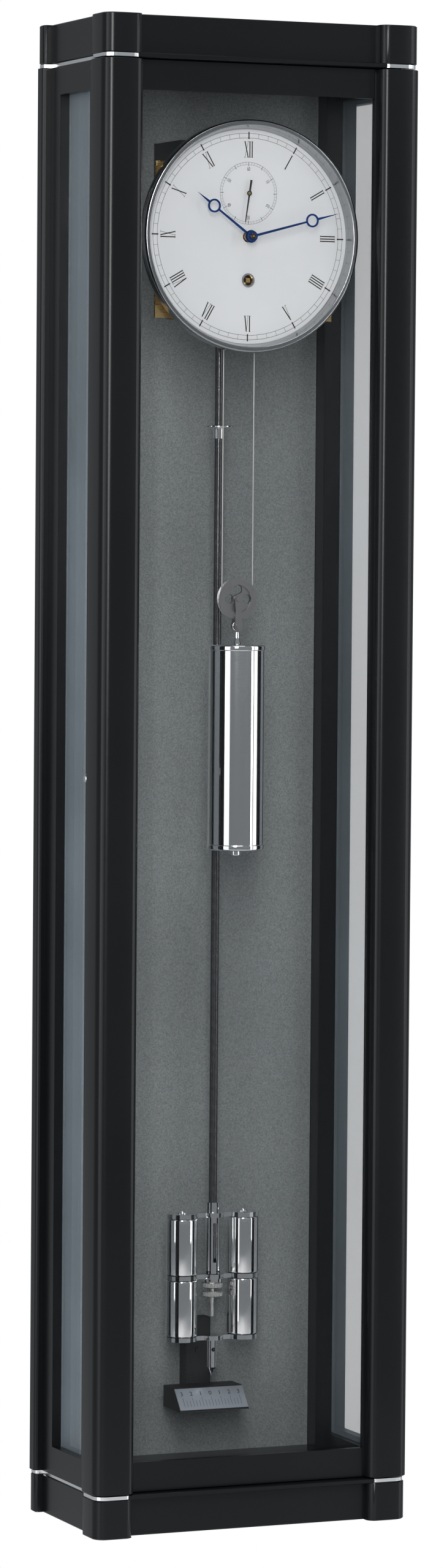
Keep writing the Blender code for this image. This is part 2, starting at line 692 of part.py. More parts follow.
def make_door():
    hinge = body("door", (PIVOT_X, PIVOT_Y, CASE_HEIGHT / 2))
    pieces = []
    for side, sign in (("left", -1), ("right", 1)):
        outline = post_outline() if sign > 0 else mirrored(post_outline())
        post = prism(f"door_post_{side}", "Z", DOOR_FOOT_Z, from_top(DOOR_FOOT_Z), outline)
        if sign > 0:
            for level in (lambda z: z, from_top):
                ends = sorted((level(DOOR_FOOT_Z - PIVOT_LENGTH), level(DOOR_FOOT_Z + PIVOT_LENGTH)))
                cut(post, rod("bore", "Z", pivot_place(), PIVOT_RADIUS + GAP, ends[0], ends[1], 12))
        pieces.append(finish(post, BLACK_LACQUER))
    for side, level in (("bottom", lambda z: z), ("top", from_top)):
        pieces.append(make_rail(f"door_rail_{side}", level))
    edge_x = OPENING_X + DOOR_REBATE - GAP
    edge_z = OPENING_FOOT_Z - DOOR_REBATE + GAP
    glass_y = FASCIA_Y + DOOR_LIP + GAP
    bead_y = glass_y + GLASS_THICKNESS + GAP
    glass = box("door_glass", (-edge_x, edge_x), (glass_y, glass_y + GLASS_THICKNESS),
                (edge_z, from_top(edge_z)))
    pieces.append(finish(glass, GLASS))
    inner_x, inner_z = edge_x - BEAD_WIDTH, edge_z + BEAD_WIDTH
    opening = rectangle(-inner_x, inner_x, inner_z, from_top(inner_z))
    edges = rectangle(-edge_x, edge_x, edge_z, from_top(edge_z))
    pieces.append(finish(prism("door_bead", "Y", bead_y, bead_y + BEAD_DEPTH, edges, [opening]),
                         BLACK_LACQUER))
    attach(hinge, *pieces)


def make_latch():
    centre = (LATCH_Y, LATCH_HEIGHT)
    collar = tube("latch_collar", "X", centre, LATCH_KNOB_RADIUS + GAP, LATCH_COLLAR_RADIUS,
                  -SIDE_X - LATCH_COLLAR_DEPTH, -SIDE_X - GAP)
    finish(collar, CHROME, round_piece=True)
    head = -SIDE_X - LATCH_PROUD
    neck = head + LATCH_HEAD
    inner = -INNER_X + LATCH_INSET
    end = inner + LATCH_TAIL
    profile = [(0, head), (LATCH_KNOB_RADIUS - GAP, head), (LATCH_KNOB_RADIUS, head + GAP)]
    profile += [(LATCH_KNOB_RADIUS, neck), (LATCH_SHAFT_RADIUS, neck), (LATCH_SHAFT_RADIUS, inner)]
    profile += [(LATCH_WASHER_RADIUS, inner), (LATCH_WASHER_RADIUS, end), (0, end)]
    slide = body("latch", (head, *centre))
    attach(slide, finish(turned("latch_knob", "X", centre, profile), CHROME, round_piece=True))


# Dial and hands


def make_dial():
    back = DIAL_Y + DIAL_THICKNESS
    holes = [circle(CENTRE, HUB_HOLE_RADIUS), circle(ESCAPE, ARBOR_RADIUS + ARBOR_PLAY, 12)]
    holes.append(circle(WINDING, GROMMET_RADIUS + GAP))
    dial = prism("dial_plate", "Y", DIAL_Y, back, circle(CENTRE, DIAL_RADIUS, 72), holes)
    feet = [
        rod("foot", "Y", (x, DIAL_Z + z), FOOT_RADIUS, back - GAP, FRONT_PLATE_Y - GAP, 12)
        for x in (-FOOT_X, FOOT_X) for z in (-FOOT_Z, FOOT_Z)
    ]
    finish(joined(dial, *feet), SILVER_DIAL)
    front = DIAL_Y - BEZEL_STAND
    seat = DIAL_Y - GAP
    chamfer = BEZEL_CHAMFER
    profile = [
        (BEZEL_RADIUS - BEZEL_RIM, front + chamfer), (BEZEL_RADIUS - BEZEL_RIM + chamfer, front),
        (BEZEL_RADIUS - chamfer, front), (BEZEL_RADIUS, front + chamfer), (BEZEL_RADIUS, back),
        (DIAL_RADIUS + GAP, back), (DIAL_RADIUS + GAP, seat), (BEZEL_RADIUS - BEZEL_LIP, seat),
    ]
    finish(turned("bezel", "Y", CENTRE, profile, 72, ring=True), CHROME, round_piece=True)
    profile = [
        (GROMMET_RADIUS - GROMMET_LIP, DIAL_Y - GROMMET_PROUD), (GROMMET_RADIUS + GROMMET_FLANGE,
                                                                 DIAL_Y - GROMMET_PROUD),
        (GROMMET_RADIUS + GROMMET_FLANGE, seat), (GROMMET_RADIUS, seat),
        (GROMMET_RADIUS, back), (GROMMET_RADIUS - GROMMET_LIP, back),
    ]
    finish(turned("winding_grommet", "Y", WINDING, profile, 24, ring=True), CHROME, round_piece=True)


def turned_points(points, centre, angle):
    """Points of a hand drawn pointing up from (0, 0), turned clockwise by the angle onto a centre."""
    c, s = math.cos(angle), math.sin(angle)
    return [(centre[0] + u * c + v * s, centre[1] - u * s + v * c) for u, v in points]


def ring_hand(name, angle, length, ring_at, hub, bore, low):
    """A slender hand with an open ring in it: hub, arm, ring and tip."""
    high = low + HAND_THICKNESS
    inner = HAND_RING_RADIUS - HAND_RING_WALL
    reach = hub - SPARE
    arm = [(-ARM_ROOT, reach), (ARM_ROOT, reach), (ARM_TIP, ring_at - inner - GAP),
           (-ARM_TIP, ring_at - inner - GAP)]
    tip = [(ARM_ROOT, ring_at + inner + GAP), (0, length), (-ARM_ROOT, ring_at + inner + GAP)]
    hand = tube(name, "Y", CENTRE, bore, hub, low, high, 32)
    ring = prism("ring", "Y", low, high, turned_points(circle((0, ring_at), HAND_RING_RADIUS, 32), CENTRE,
                                                       angle),
                 [turned_points(circle((0, ring_at), inner, 32), CENTRE, angle)])
    others = [prism("part", "Y", low, high, turned_points(points, CENTRE, angle)) for points in (arm, tip)]
    return finish(joined(hand, ring, *others), BLUED_STEEL)


# Wheels


def gear_outline(centre, teeth, module, phase):
    """Teeth as narrow trapezia, thinner than a half pitch so that a pair runs with backlash."""
    pitch = 2 * math.pi / teeth
    root = module * (teeth / 2 - DEDENDUM)
    tip = module * (teeth / 2 + ADDENDUM)
    points = []
    for tooth in range(teeth):
        middle = phase + tooth * pitch
        for radius, offset in ((root, -ROOT_SHARE), (tip, -TIP_SHARE), (tip, TIP_SHARE), (root, ROOT_SHARE)):
            angle = middle + offset * pitch / 2
            points.append((centre[0] + radius * math.cos(angle), centre[1] + radius * math.sin(angle)))
    return points


def crossings(centre, rim, hub, count):
    """The openings between a wheel's spokes."""
    half = SPOKE_WIDTH / 2
    holes = []
    for number in range(count):
        start = 360 * number / count
        outer = math.degrees(math.asin(half / rim))
        inner = math.degrees(math.asin(half / hub))
        hole = arc(centre, rim, start + outer, start + 360 / count - outer, 6)
        hole += reversed(arc(centre, hub, start + inner, start + 360 / count - inner, 3))
        holes.append(hole)
    return holes


def meshing(place, teeth, phase, other_place, other_teeth):
    """The phase that puts a gap of the other gear at a tooth of this one."""
    way = math.atan2(other_place[1] - place[1], other_place[0] - place[0])
    here = (way - phase) * teeth / (2 * math.pi)
    return way + math.pi - (0.5 - here) * 2 * math.pi / other_teeth


def wheel(name, centre, teeth, module, phase, low):
    rim = module * (teeth / 2 - DEDENDUM) - RIM_WIDTH
    holes = crossings(centre, rim, WHEEL_HUB_RADIUS, SPOKES)
    return prism(name, "Y", low, low + WHEEL_THICKNESS, gear_outline(centre, teeth, module, phase), holes)


def boss(centre, low):
    """The collar a wheel sits on, standing a little out of both its faces."""
    return rod("boss", "Y", centre, WHEEL_HUB_RADIUS + GAP, low - BOSS_PROUD,
               low + WHEEL_THICKNESS + BOSS_PROUD, 20)


def pinion(centre, leaves, module, phase, low, high):
    return prism("pinion", "Y", low, high, gear_outline(centre, leaves, module, phase))


def escape_outline(centre):
    """Thirty pointed teeth that lean into the turn."""
    pitch = 2 * math.pi / ESCAPE_TEETH
    root = ESCAPE_RADIUS - ESCAPE_TOOTH_DEPTH
    points = []
    for tooth in range(ESCAPE_TEETH):
        for radius, share in ((root, 0.0), (ESCAPE_RADIUS, -0.12), (ESCAPE_RADIUS, -0.06), (root, 0.3)):
            angle = math.pi / 2 + (tooth + share) * pitch
            points.append((centre[0] + radius * math.cos(angle), centre[1] + radius * math.sin(angle)))
    return points


def make_train():
    back = BACK_PLATE_Y + PLATE_THICKNESS + ARBOR_END
    great_phase = math.pi / 2
    centre_phase = meshing(WINDING, GREAT_TEETH, great_phase, CENTRE, CENTRE_LEAVES)
    third_phase = meshing(CENTRE, CENTRE_TEETH, 0.0, THIRD, THIRD_LEAVES)
    escape_phase = meshing(THIRD, THIRD_TEETH, 0.0, ESCAPE, ESCAPE_LEAVES)
    minute_phase = meshing(CENTRE, CANNON_LEAVES, 0.0, MINUTE, MINUTE_TEETH)
    hour_phase = meshing(MINUTE, MINUTE_LEAVES, 0.0, CENTRE, HOUR_TEETH)

    # Drum, with the square that the key turns, and the great wheel behind it
    drum_y = WEIGHT_Y - DRUM_LENGTH / 2
    square = rectangle(-SQUARE_HALF, SQUARE_HALF, WINDING[1] - SQUARE_HALF, WINDING[1] + SQUARE_HALF)
    drum = turned("winding_drum", "Y", WINDING, [
        (DRUM_BORE, drum_y), (DRUM_FLANGE, drum_y), (DRUM_FLANGE, drum_y + FLANGE_THICKNESS),
        (DRUM_RADIUS - GAP, drum_y + FLANGE_THICKNESS), (DRUM_RADIUS - GAP, drum_y + DRUM_LENGTH),
        (DRUM_BORE, drum_y + DRUM_LENGTH),
    ], 32, ring=True)
    arbor = rod("arbor", "Y", WINDING, DRUM_ARBOR_RADIUS, FRONT_PLATE_Y - GAP, back)
    key_end = prism("square", "Y", DIAL_Y - GAP, FRONT_PLATE_Y, square)
    web = rod("web", "Y", WINDING, DRUM_BORE + GAP, drum_y + GAP, drum_y + FLANGE_THICKNESS, 32)
    finish(joined(drum, arbor, key_end, web), BRASS)
    attach(body("drum", (WINDING[0], drum_y, WINDING[1])), drum)

    great_y = drum_y + DRUM_LENGTH + WHEEL_CLEARANCE
    great = wheel("great_wheel", WINDING, GREAT_TEETH, GREAT_MODULE, great_phase, great_y)
    hub = rod("hub", "Y", WINDING, WHEEL_HUB_RADIUS + GREAT_HUB_EXTRA, great_y, great_y + HUB_LENGTH)
    joined(great, hub)
    bore_end = great_y + HUB_LENGTH + SPARE
    cut(great, rod("bore", "Y", WINDING, DRUM_ARBOR_RADIUS + GAP, great_y - SPARE, bore_end))
    finish(great, BRASS)
    attach(body("great", (WINDING[0], great_y, WINDING[1])), great)

    # Centre arbor, turning once an hour, with the cannon pinion and pipe for the minute hand
    cannon_y = DIAL_Y + CANNON_BEHIND_DIAL
    centre_y = great_y + WHEEL_THICKNESS + LAYER_STEP
    minute_y = DIAL_Y - MINUTE_HAND_STAND - HAND_THICKNESS
    centre = wheel("centre_wheel", CENTRE, CENTRE_TEETH, CENTRE_MODULE, 0.0, centre_y)
    joined(
        centre,
        rod("arbor", "Y", CENTRE, ARBOR_RADIUS, minute_y - STUD_END, back),
        boss(CENTRE, centre_y),
        pinion(CENTRE, CENTRE_LEAVES, GREAT_MODULE, centre_phase, great_y - PINION_FORE,
               great_y + PINION_AFT),
        pinion(CENTRE, CANNON_LEAVES, CANNON_MODULE, 0.0, cannon_y, cannon_y + CANNON_FACE),
        rod("pipe", "Y", CENTRE, CANNON_PIPE_RADIUS, DIAL_Y - MINUTE_HAND_STAND + GAP, cannon_y + GAP),
    )
    finish(centre, BRASS)
    length = BEZEL_RADIUS - MINUTE_HAND_SHORT
    hand = ring_hand("minute_hand", MINUTE_ANGLE, length, MINUTE_RING_AT, MINUTE_HUB_RADIUS,
                     ARBOR_RADIUS + GAP, minute_y)
    nut_profile = [(ARBOR_RADIUS + GAP, minute_y - HAND_NUT_HEIGHT),
                   (NUT_TOP_RADIUS, minute_y - HAND_NUT_HEIGHT),
                   (NUT_FOOT_RADIUS, minute_y - NUT_STEP), (NUT_FOOT_RADIUS, minute_y - GAP),
                   (ARBOR_RADIUS + GAP, minute_y - GAP)]
    nut = finish(turned("hand_nut", "Y", CENTRE, nut_profile, 24, ring=True), BRONZE, round_piece=True)
    attach(body("minute", (CENTRE[0], centre_y, CENTRE[1])), centre, hand, nut)

    # Motion work: minute wheel on its stud, and the hour wheel with the pipe of the hour hand
    wheel_y = cannon_y + LEAF_CLEARANCE
    minute = wheel("minute_wheel", MINUTE, MINUTE_TEETH, CANNON_MODULE, minute_phase, wheel_y)
    leaves_y = DIAL_Y + DIAL_THICKNESS + WHEEL_CLEARANCE
    joined(
        minute,
        boss(MINUTE, wheel_y),
        pinion(MINUTE, MINUTE_LEAVES, HOUR_MODULE, 0.0, leaves_y, wheel_y + GAP),
        rod("stud", "Y", MINUTE, ARBOR_RADIUS, wheel_y, FRONT_PLATE_Y + PLATE_THICKNESS + SPARE),
    )
    finish(minute, BRASS)
    attach(body("minute_wheel", (MINUTE[0], wheel_y, MINUTE[1])), minute)
    hour_y = leaves_y + LEAF_CLEARANCE
    hand_y = DIAL_Y - HOUR_HAND_STAND - HAND_THICKNESS
    hour = wheel("hour_wheel", CENTRE, HOUR_TEETH, HOUR_MODULE, hour_phase, hour_y)
    pipe = rod("pipe", "Y", CENTRE, HOUR_PIPE_RADIUS, hand_y + HAND_THICKNESS + GAP, hour_y + WHEEL_THICKNESS)
    joined(hour, pipe)
    tip = rod("tip", "Y", CENTRE, HOUR_PIPE_RADIUS - HOUR_TIP_STEP, hand_y, hour_y)
    joined(hour, tip)
    cut(hour, rod("bore", "Y", CENTRE, CANNON_PIPE_RADIUS + GAP, hand_y - SPARE, hour_y + PINION_AFT))
    finish(hour, BRASS)
    length = BEZEL_RADIUS - HOUR_HAND_SHORT
    hand = ring_hand("hour_hand", HOUR_ANGLE, length, HOUR_RING_AT, HOUR_HUB_RADIUS,
                     HOUR_PIPE_RADIUS - HOUR_TIP_STEP + GAP, hand_y)
    attach(body("hour", (CENTRE[0], hour_y, CENTRE[1])), hour, hand)

    # Third and escape arbors
    third_y = TRAIN_Y + THIRD_DEPTH
    third = wheel("third_wheel", THIRD, THIRD_TEETH, THIRD_MODULE, 0.0, third_y)
    joined(
        third,
        rod("arbor", "Y", THIRD, ARBOR_RADIUS, FRONT_PLATE_Y + GAP, back),
        boss(THIRD, third_y),
        pinion(THIRD, THIRD_LEAVES, CENTRE_MODULE, third_phase, centre_y - PINION_FORE,
               centre_y + PINION_AFT),
    )
    finish(third, BRASS)
    attach(body("third", (THIRD[0], third_y, THIRD[1])), third)
    escape_y = centre_y + WHEEL_THICKNESS + LAYER_STEP
    hand_y = DIAL_Y - SECOND_HAND_STAND - HAND_THICKNESS
    rim = ESCAPE_RADIUS - ESCAPE_TOOTH_DEPTH - RIM_WIDTH
    escape = prism("escape_wheel", "Y", escape_y, escape_y + WHEEL_THICKNESS, escape_outline(ESCAPE),
                   crossings(ESCAPE, rim, WHEEL_HUB_RADIUS, SPOKES))
    joined(
        escape,
        rod("arbor", "Y", ESCAPE, ARBOR_RADIUS, hand_y - GAP, back),
        boss(ESCAPE, escape_y),
        pinion(ESCAPE, ESCAPE_LEAVES, THIRD_MODULE, escape_phase, third_y - PINION_FORE,
               third_y + PINION_AFT),
    )
    finish(escape, BRASS)
    blade = [(-SECOND_HALF, -SECOND_HAND_TAIL), (SECOND_HALF, -SECOND_HAND_TAIL),
             (SECOND_TIP, SECOND_HAND_LENGTH), (-SECOND_TIP, SECOND_HAND_LENGTH)]
    seconds = prism("seconds_hand", "Y", hand_y, hand_y + SECOND_THICKNESS,
                    turned_points(blade, ESCAPE, SECOND_ANGLE))
    joined(seconds, rod("hub", "Y", ESCAPE, SECOND_HUB_RADIUS, hand_y, hand_y + HAND_THICKNESS))
    cut(seconds, rod("bore", "Y", ESCAPE, ARBOR_RADIUS + GAP, hand_y - SPARE, hand_y + 2 * SPARE))
    finish(seconds, BLACK_METAL)
    attach(body("escape", (ESCAPE[0], escape_y, ESCAPE[1])), escape, seconds)
    return escape_y


def make_plates():
    """The movement's two plates, with the pillars and the stud of the fixed line end."""
    back_x, front_x = BACK_PLATE_WIDTH / 2, PLATE_WIDTH / 2
    low, shoulder = DIAL_Z - PLATE_BELOW_CENTRE, DIAL_Z + PLATE_ABOVE_CENTRE
    top = ANCHOR_Z + TONGUE_ABOVE_ANCHOR
    half = TONGUE_WIDTH / 2

    def outline(x):
        return [(-x, low), (x, low), (x, shoulder), (half, shoulder), (half, top), (-half, top),
                (-half, shoulder), (-x, shoulder)]

    play = ARBOR_RADIUS + ARBOR_PLAY
    pivots = [circle(place, play, 12) for place in (CENTRE, THIRD, ESCAPE, (0.0, ANCHOR_Z))]
    drum_hole = circle(WINDING, DRUM_ARBOR_RADIUS + ARBOR_PLAY, 24)
    front = prism("front_plate", "Y", FRONT_PLATE_Y, TRAIN_Y, outline(front_x),
                  [*pivots, drum_hole, circle(MINUTE, play, 12)])
    pillar_x = back_x - PILLAR_INSET
    pillars = [
        rod("pillar", "Y", (x, z), PILLAR_RADIUS, TRAIN_Y - SPARE, BACK_PLATE_Y - GAP)
        for x in (-pillar_x, pillar_x) for z in (low + PILLAR_INSET, shoulder - PILLAR_INSET)
    ]
    stud = rod("stud", "Y", stud_place(), STUD_END + GAP, TRAIN_Y - SPARE, WEIGHT_Y + STUD_END, 12)
    finish(joined(front, *pillars, stud), BRASS)
    back = prism("back_plate", "Y", BACK_PLATE_Y, BACK_PLATE_Y + PLATE_THICKNESS, outline(back_x),
                 [*pivots, drum_hole])
    finish(back, BRASS)


def stud_place():
    return (-STUD_X, DIAL_Z - PLATE_BELOW_CENTRE + STUD_FROM_EDGE)


def make_bracket():
    """The bracket that carries the movement from the back panel, with the pendulum's cock on it."""
    arm_y = BACK_PLATE_Y + PLATE_THICKNESS + GAP
    flange_y = BACK_Y - BRACKET_FLANGE
    top = ANCHOR_Z + BRACKET_TOP_RISE
    web_low = top - BRACKET_WALL
    bracket = box("movement_bracket", (-BRACKET_HALF, BRACKET_HALF), (flange_y, BACK_Y - GAP),
                  (ANCHOR_Z - BRACKET_BELOW, top))
    others = []
    for sign in (-1, 1):
        x = sorted((sign * (BRACKET_HALF - GAP), sign * (BRACKET_HALF - BRACKET_WALL)))
        others.append(box("arm", x, (arm_y, flange_y + GAP), (ANCHOR_Z - ARM_BELOW + GAP, top - GAP)))
    others.append(box("web", (-COCK_HALF, COCK_HALF), (PENDULUM_Y - SPRING_PIN_HALF, flange_y + GAP),
                      (web_low, top - 2 * GAP)))
    lug = COCK_LUG
    for y in (PENDULUM_Y - SPRING_PIN_HALF, PENDULUM_Y + SPRING_PIN_HALF - lug):
        others.append(box("lug", (-COCK_HALF / 2, COCK_HALF / 2), (y + GAP, y + lug),
                          (ANCHOR_Z - COCK_LUG_DROP, web_low + GAP)))
    joined(bracket, *others)
    hole = rod("hole", "Y", (0, ANCHOR_Z), SPRING_PIN_RADIUS + GAP, PENDULUM_Y - PIN_REACH,
               PENDULUM_Y + PIN_REACH, 12)
    finish(cut(bracket, hole), BLACK_METAL)


def make_anchor(escape_y):
    """Anchor, its arbor, and the crutch whose fork guides the pendulum rod."""
    span = ANCHOR_SPAN_TEETH * math.pi / ESCAPE_TEETH
    reach = ESCAPE_RADIUS + PALLET_CLEARANCE
    centre = (0.0, ANCHOR_Z)
    half = PALLET_HALF

    def around_escape(radius, turn):
        angle = math.pi / 2 - span + turn / reach
        return (ESCAPE[0] + radius * math.cos(angle), ESCAPE[1] + radius * math.sin(angle))

    outer = reach + PALLET_LENGTH
    right = [around_escape(outer, -half), around_escape(outer, half), around_escape(reach, half),
             around_escape(reach, -half)]
    low = escape_y - GAP
    high = escape_y + WHEEL_THICKNESS + GAP
    left = mirrored(right)
    arm_right = [(-ARM_HALF, ANCHOR_Z - ARM_HALF), around_escape(reach + 4 * GAP, 0.0),
                 around_escape(outer - GAP, 0.0), (ARM_HALF, ANCHOR_Z + ARM_HALF)]
    hub = rod("anchor", "Y", centre, ANCHOR_HUB_RADIUS, low, high, 24)
    pieces = [prism("arm", "Y", low + PALLET_STEP, high - PALLET_STEP, points)
              for points in (arm_right, mirrored(arm_right))]
    pieces += [prism("pallet", "Y", low, high, points) for points in (right, left)]
    crutch_y = BACK_PLATE_Y + PLATE_THICKNESS + CRUTCH_STANDOFF
    pieces.append(rod("arbor", "Y", centre, ARBOR_RADIUS, FRONT_PLATE_Y + GAP, crutch_y + CRUTCH_THICKNESS))
    pieces.append(rod("boss", "Y", centre, CRUTCH_BOSS_RADIUS, crutch_y, crutch_y + CRUTCH_THICKNESS))
    foot = ANCHOR_Z - CRUTCH_DROP
    pieces.append(box("crutch", (-CRUTCH_HALF, CRUTCH_HALF),
                      (crutch_y + GAP, crutch_y + CRUTCH_THICKNESS - GAP),
                      (foot, ANCHOR_Z)))
    inside = ROD_RADIUS + ROD_BORE
    outside = inside + YOKE_WALL
    prong_end = PENDULUM_Y + ROD_RADIUS + SPARE
    pieces.append(box("yoke", (-outside, outside), (crutch_y, crutch_y + CRUTCH_THICKNESS),
                      (foot - YOKE_DEPTH, foot + GAP)))
    for sign in (-1, 1):
        x = sorted((sign * inside, sign * (outside - GAP)))
        pieces.append(box("prong", x, (crutch_y + GAP, prong_end), (foot - YOKE_DEPTH + GAP, foot - GAP)))
    finish(joined(hub, *pieces), STEEL)
    attach(body("anchor", (0, escape_y, ANCHOR_Z)), hub)


# Pendulum


def link_outline():
    """Three discs in a row joined by a narrow bar."""
    centre = math.degrees(math.asin(LINK_BAR / 2 / LINK_CENTRE_RADIUS))
    end = math.degrees(math.asin(LINK_BAR / 2 / BOB_CYLINDER_RADIUS))
    points = arc((0, PENDULUM_Y), LINK_CENTRE_RADIUS, centre, 180 - centre, 12)
    points += arc((-BOB_X, PENDULUM_Y), BOB_CYLINDER_RADIUS, end, 360 - end, 22)
    points += arc((0, PENDULUM_Y), LINK_CENTRE_RADIUS, 180 + centre, 360 - centre, 12)
    return points + arc((BOB_X, PENDULUM_Y), BOB_CYLINDER_RADIUS, 180 + end, 540 - end, 22)


def make_bob():
    """Two steel cylinders held in three link plates, hung on the nuts under the middle one."""
    axis = (0, PENDULUM_Y)
    half = LINK_THICKNESS / 2
    bore = ROD_RADIUS + ROD_BORE
    waist = LINK_WAIST
    pieces = []
    levels = {"bottom": BOB_HEIGHT - BOB_PITCH, "middle": BOB_HEIGHT, "top": BOB_HEIGHT + BOB_PITCH}
    for place, z in levels.items():
        holes = [] if place == "bottom" else [circle(axis, bore if place == "top" else STUD_RADIUS + GAP, 24)]
        if place == "middle":
            holes += [circle((x, PENDULUM_Y), waist + GAP, 16) for x in (-BOB_X, BOB_X)]
        link = prism(f"bob_link_{place}", "Z", z - half, z + half, link_outline(), holes)
        if place == "top":
            joined(link, tube("sleeve", "Z", axis, bore, BOB_SLEEVE_RADIUS, z, z + half + SLEEVE_LENGTH))
        if place == "middle":
            joined(link, tube("flange", "Z", axis, STUD_RADIUS + GAP, FLANGE_RADIUS,
                              z - half - FLANGE_DROP, z))
        if place == "bottom":
            stem_low = z - half - POINTER_LENGTH
        pieces.append(finish(link, CHROME, round_piece=True))
    chamfer = BOB_CHAMFER
    radius = BOB_CYLINDER_RADIUS
    upper = BOB_HEIGHT + half + GAP
    lower = BOB_HEIGHT - half - GAP
    length = BOB_CYLINDER_LENGTH - 2 * GAP
    profile = [
        (0, lower - length), (radius - chamfer, lower - length), (radius, lower - length + chamfer),
        (radius, lower - chamfer), (radius - chamfer, lower), (waist, lower), (waist, upper),
        (radius - chamfer, upper), (radius, upper + chamfer), (radius, upper + length - chamfer),
        (radius - chamfer, upper + length), (0, upper + length),
    ]
    for side, x in (("left", -BOB_X), ("right", BOB_X)):
        cylinder = turned(f"bob_cylinder_{side}", "Z", (x, PENDULUM_Y), profile, 32)
        pieces.append(finish(cylinder, CHROME, round_piece=True))
    sleeve = tube("bob_tube", "Z", axis, BOB_TUBE_RADIUS - BOB_TUBE_WALL, BOB_TUBE_RADIUS, upper,
                  upper + length, 32)
    slot = box("slot", (-SLOT_HALF, SLOT_HALF), (PENDULUM_Y - BOB_TUBE_RADIUS - SPARE, PENDULUM_Y),
               (upper + SLOT_MARGIN, upper + length - SLOT_MARGIN / 2))
    pieces.append(finish(cut(sleeve, slot), CHROME, round_piece=True))

    # Rod, rating screw and the two nuts
    rod_foot = upper + length - SLOT_MARGIN / 2
    spring_foot = ANCHOR_Z - SPRING_LENGTH
    profile = [(0, rod_foot), (ROD_RADIUS, rod_foot), (ROD_RADIUS, spring_foot - GAP), (0, spring_foot - GAP)]
    pieces.append(finish(turned("pendulum_rod", "Z", axis, profile, 24), CARBON, round_piece=True))
    screw = rod("rating_screw", "Z", axis, STUD_RADIUS, lower - SCREW_DROP, rod_foot - GAP)
    pieces.append(finish(screw, BRASS, round_piece=True))
    nut_top = lower - FLANGE_DROP
    for name in ("rating_nut", "lock_nut"):
        nut = tube(name, "Z", axis, STUD_RADIUS + GAP, NUT_RADIUS, nut_top - NUT_HEIGHT, nut_top, 32)
        pieces.append(finish(nut, CHROME, round_piece=True))
        nut_top -= NUT_HEIGHT + NUT_GAP
    blade = box("suspension_spring", (-SPRING_HALF, SPRING_HALF),
                (PENDULUM_Y - SPRING_THICKNESS / 2, PENDULUM_Y + SPRING_THICKNESS / 2), (spring_foot,
                                                                                         ANCHOR_Z))
    pin = rod("pin", "Y", (0, ANCHOR_Z), SPRING_PIN_RADIUS, PENDULUM_Y - SPRING_PIN_HALF,
              PENDULUM_Y + SPRING_PIN_HALF, 12)
    pieces.append(finish(joined(blade, pin), STEEL))
    profile = [
        (0, stem_low - POINTER_CONE), (POINTER_RADIUS, stem_low),
        (POINTER_RADIUS, stem_low + POINTER_LENGTH - GAP), (0, stem_low + POINTER_LENGTH - GAP),
    ]
    pointer = turned("pointer", "Z", axis, profile, 24)
    hole_z = stem_low + POINTER_EYE_RISE
    eye = rod("eye", "Y", (0, hole_z), POINTER_EYE_RADIUS, PENDULUM_Y - 2 * POINTER_RADIUS,
              PENDULUM_Y + 2 * POINTER_RADIUS)
    pieces.append(finish(cut(pointer, eye), CHROME, round_piece=True))
    tray_z = DIAL_Z - TRAY_BELOW_DIAL
    collar = POINTER_COLLAR
    profile = [(bore, tray_z - TRAY_COLLAR), (collar, tray_z - TRAY_COLLAR), (collar, tray_z - GAP),
               (TRAY_RADIUS, tray_z - GAP), (TRAY_RADIUS, tray_z + TRAY_THICKNESS), (bore,
                                                                                     tray_z + TRAY_THICKNESS)]
    pieces.append(finish(turned("weight_tray", "Z", axis, profile, 32, ring=True), CHROME, round_piece=True))
    attach(body("pendulum", (0, PENDULUM_Y, ANCHOR_Z)), *pieces)


# Driving weight


def stirrup_outline(low, high):
    """A cheek of the stirrup: two round ends and a waist between them."""
    points = arc((0, high), CHEEK_END, -30, 210, 12)
    points += [(-CHEEK_WAIST, (low + high) / 2)]
    points += arc((0, low), CHEEK_END, 150, 390, 12)
    return points + [(CHEEK_WAIST, (low + high) / 2)]


def strand(name, x, low, high, look):
    return finish(rod(name, "Z", (x, WEIGHT_Y), LINE_RADIUS, low, high, 10), look, round_piece=True)


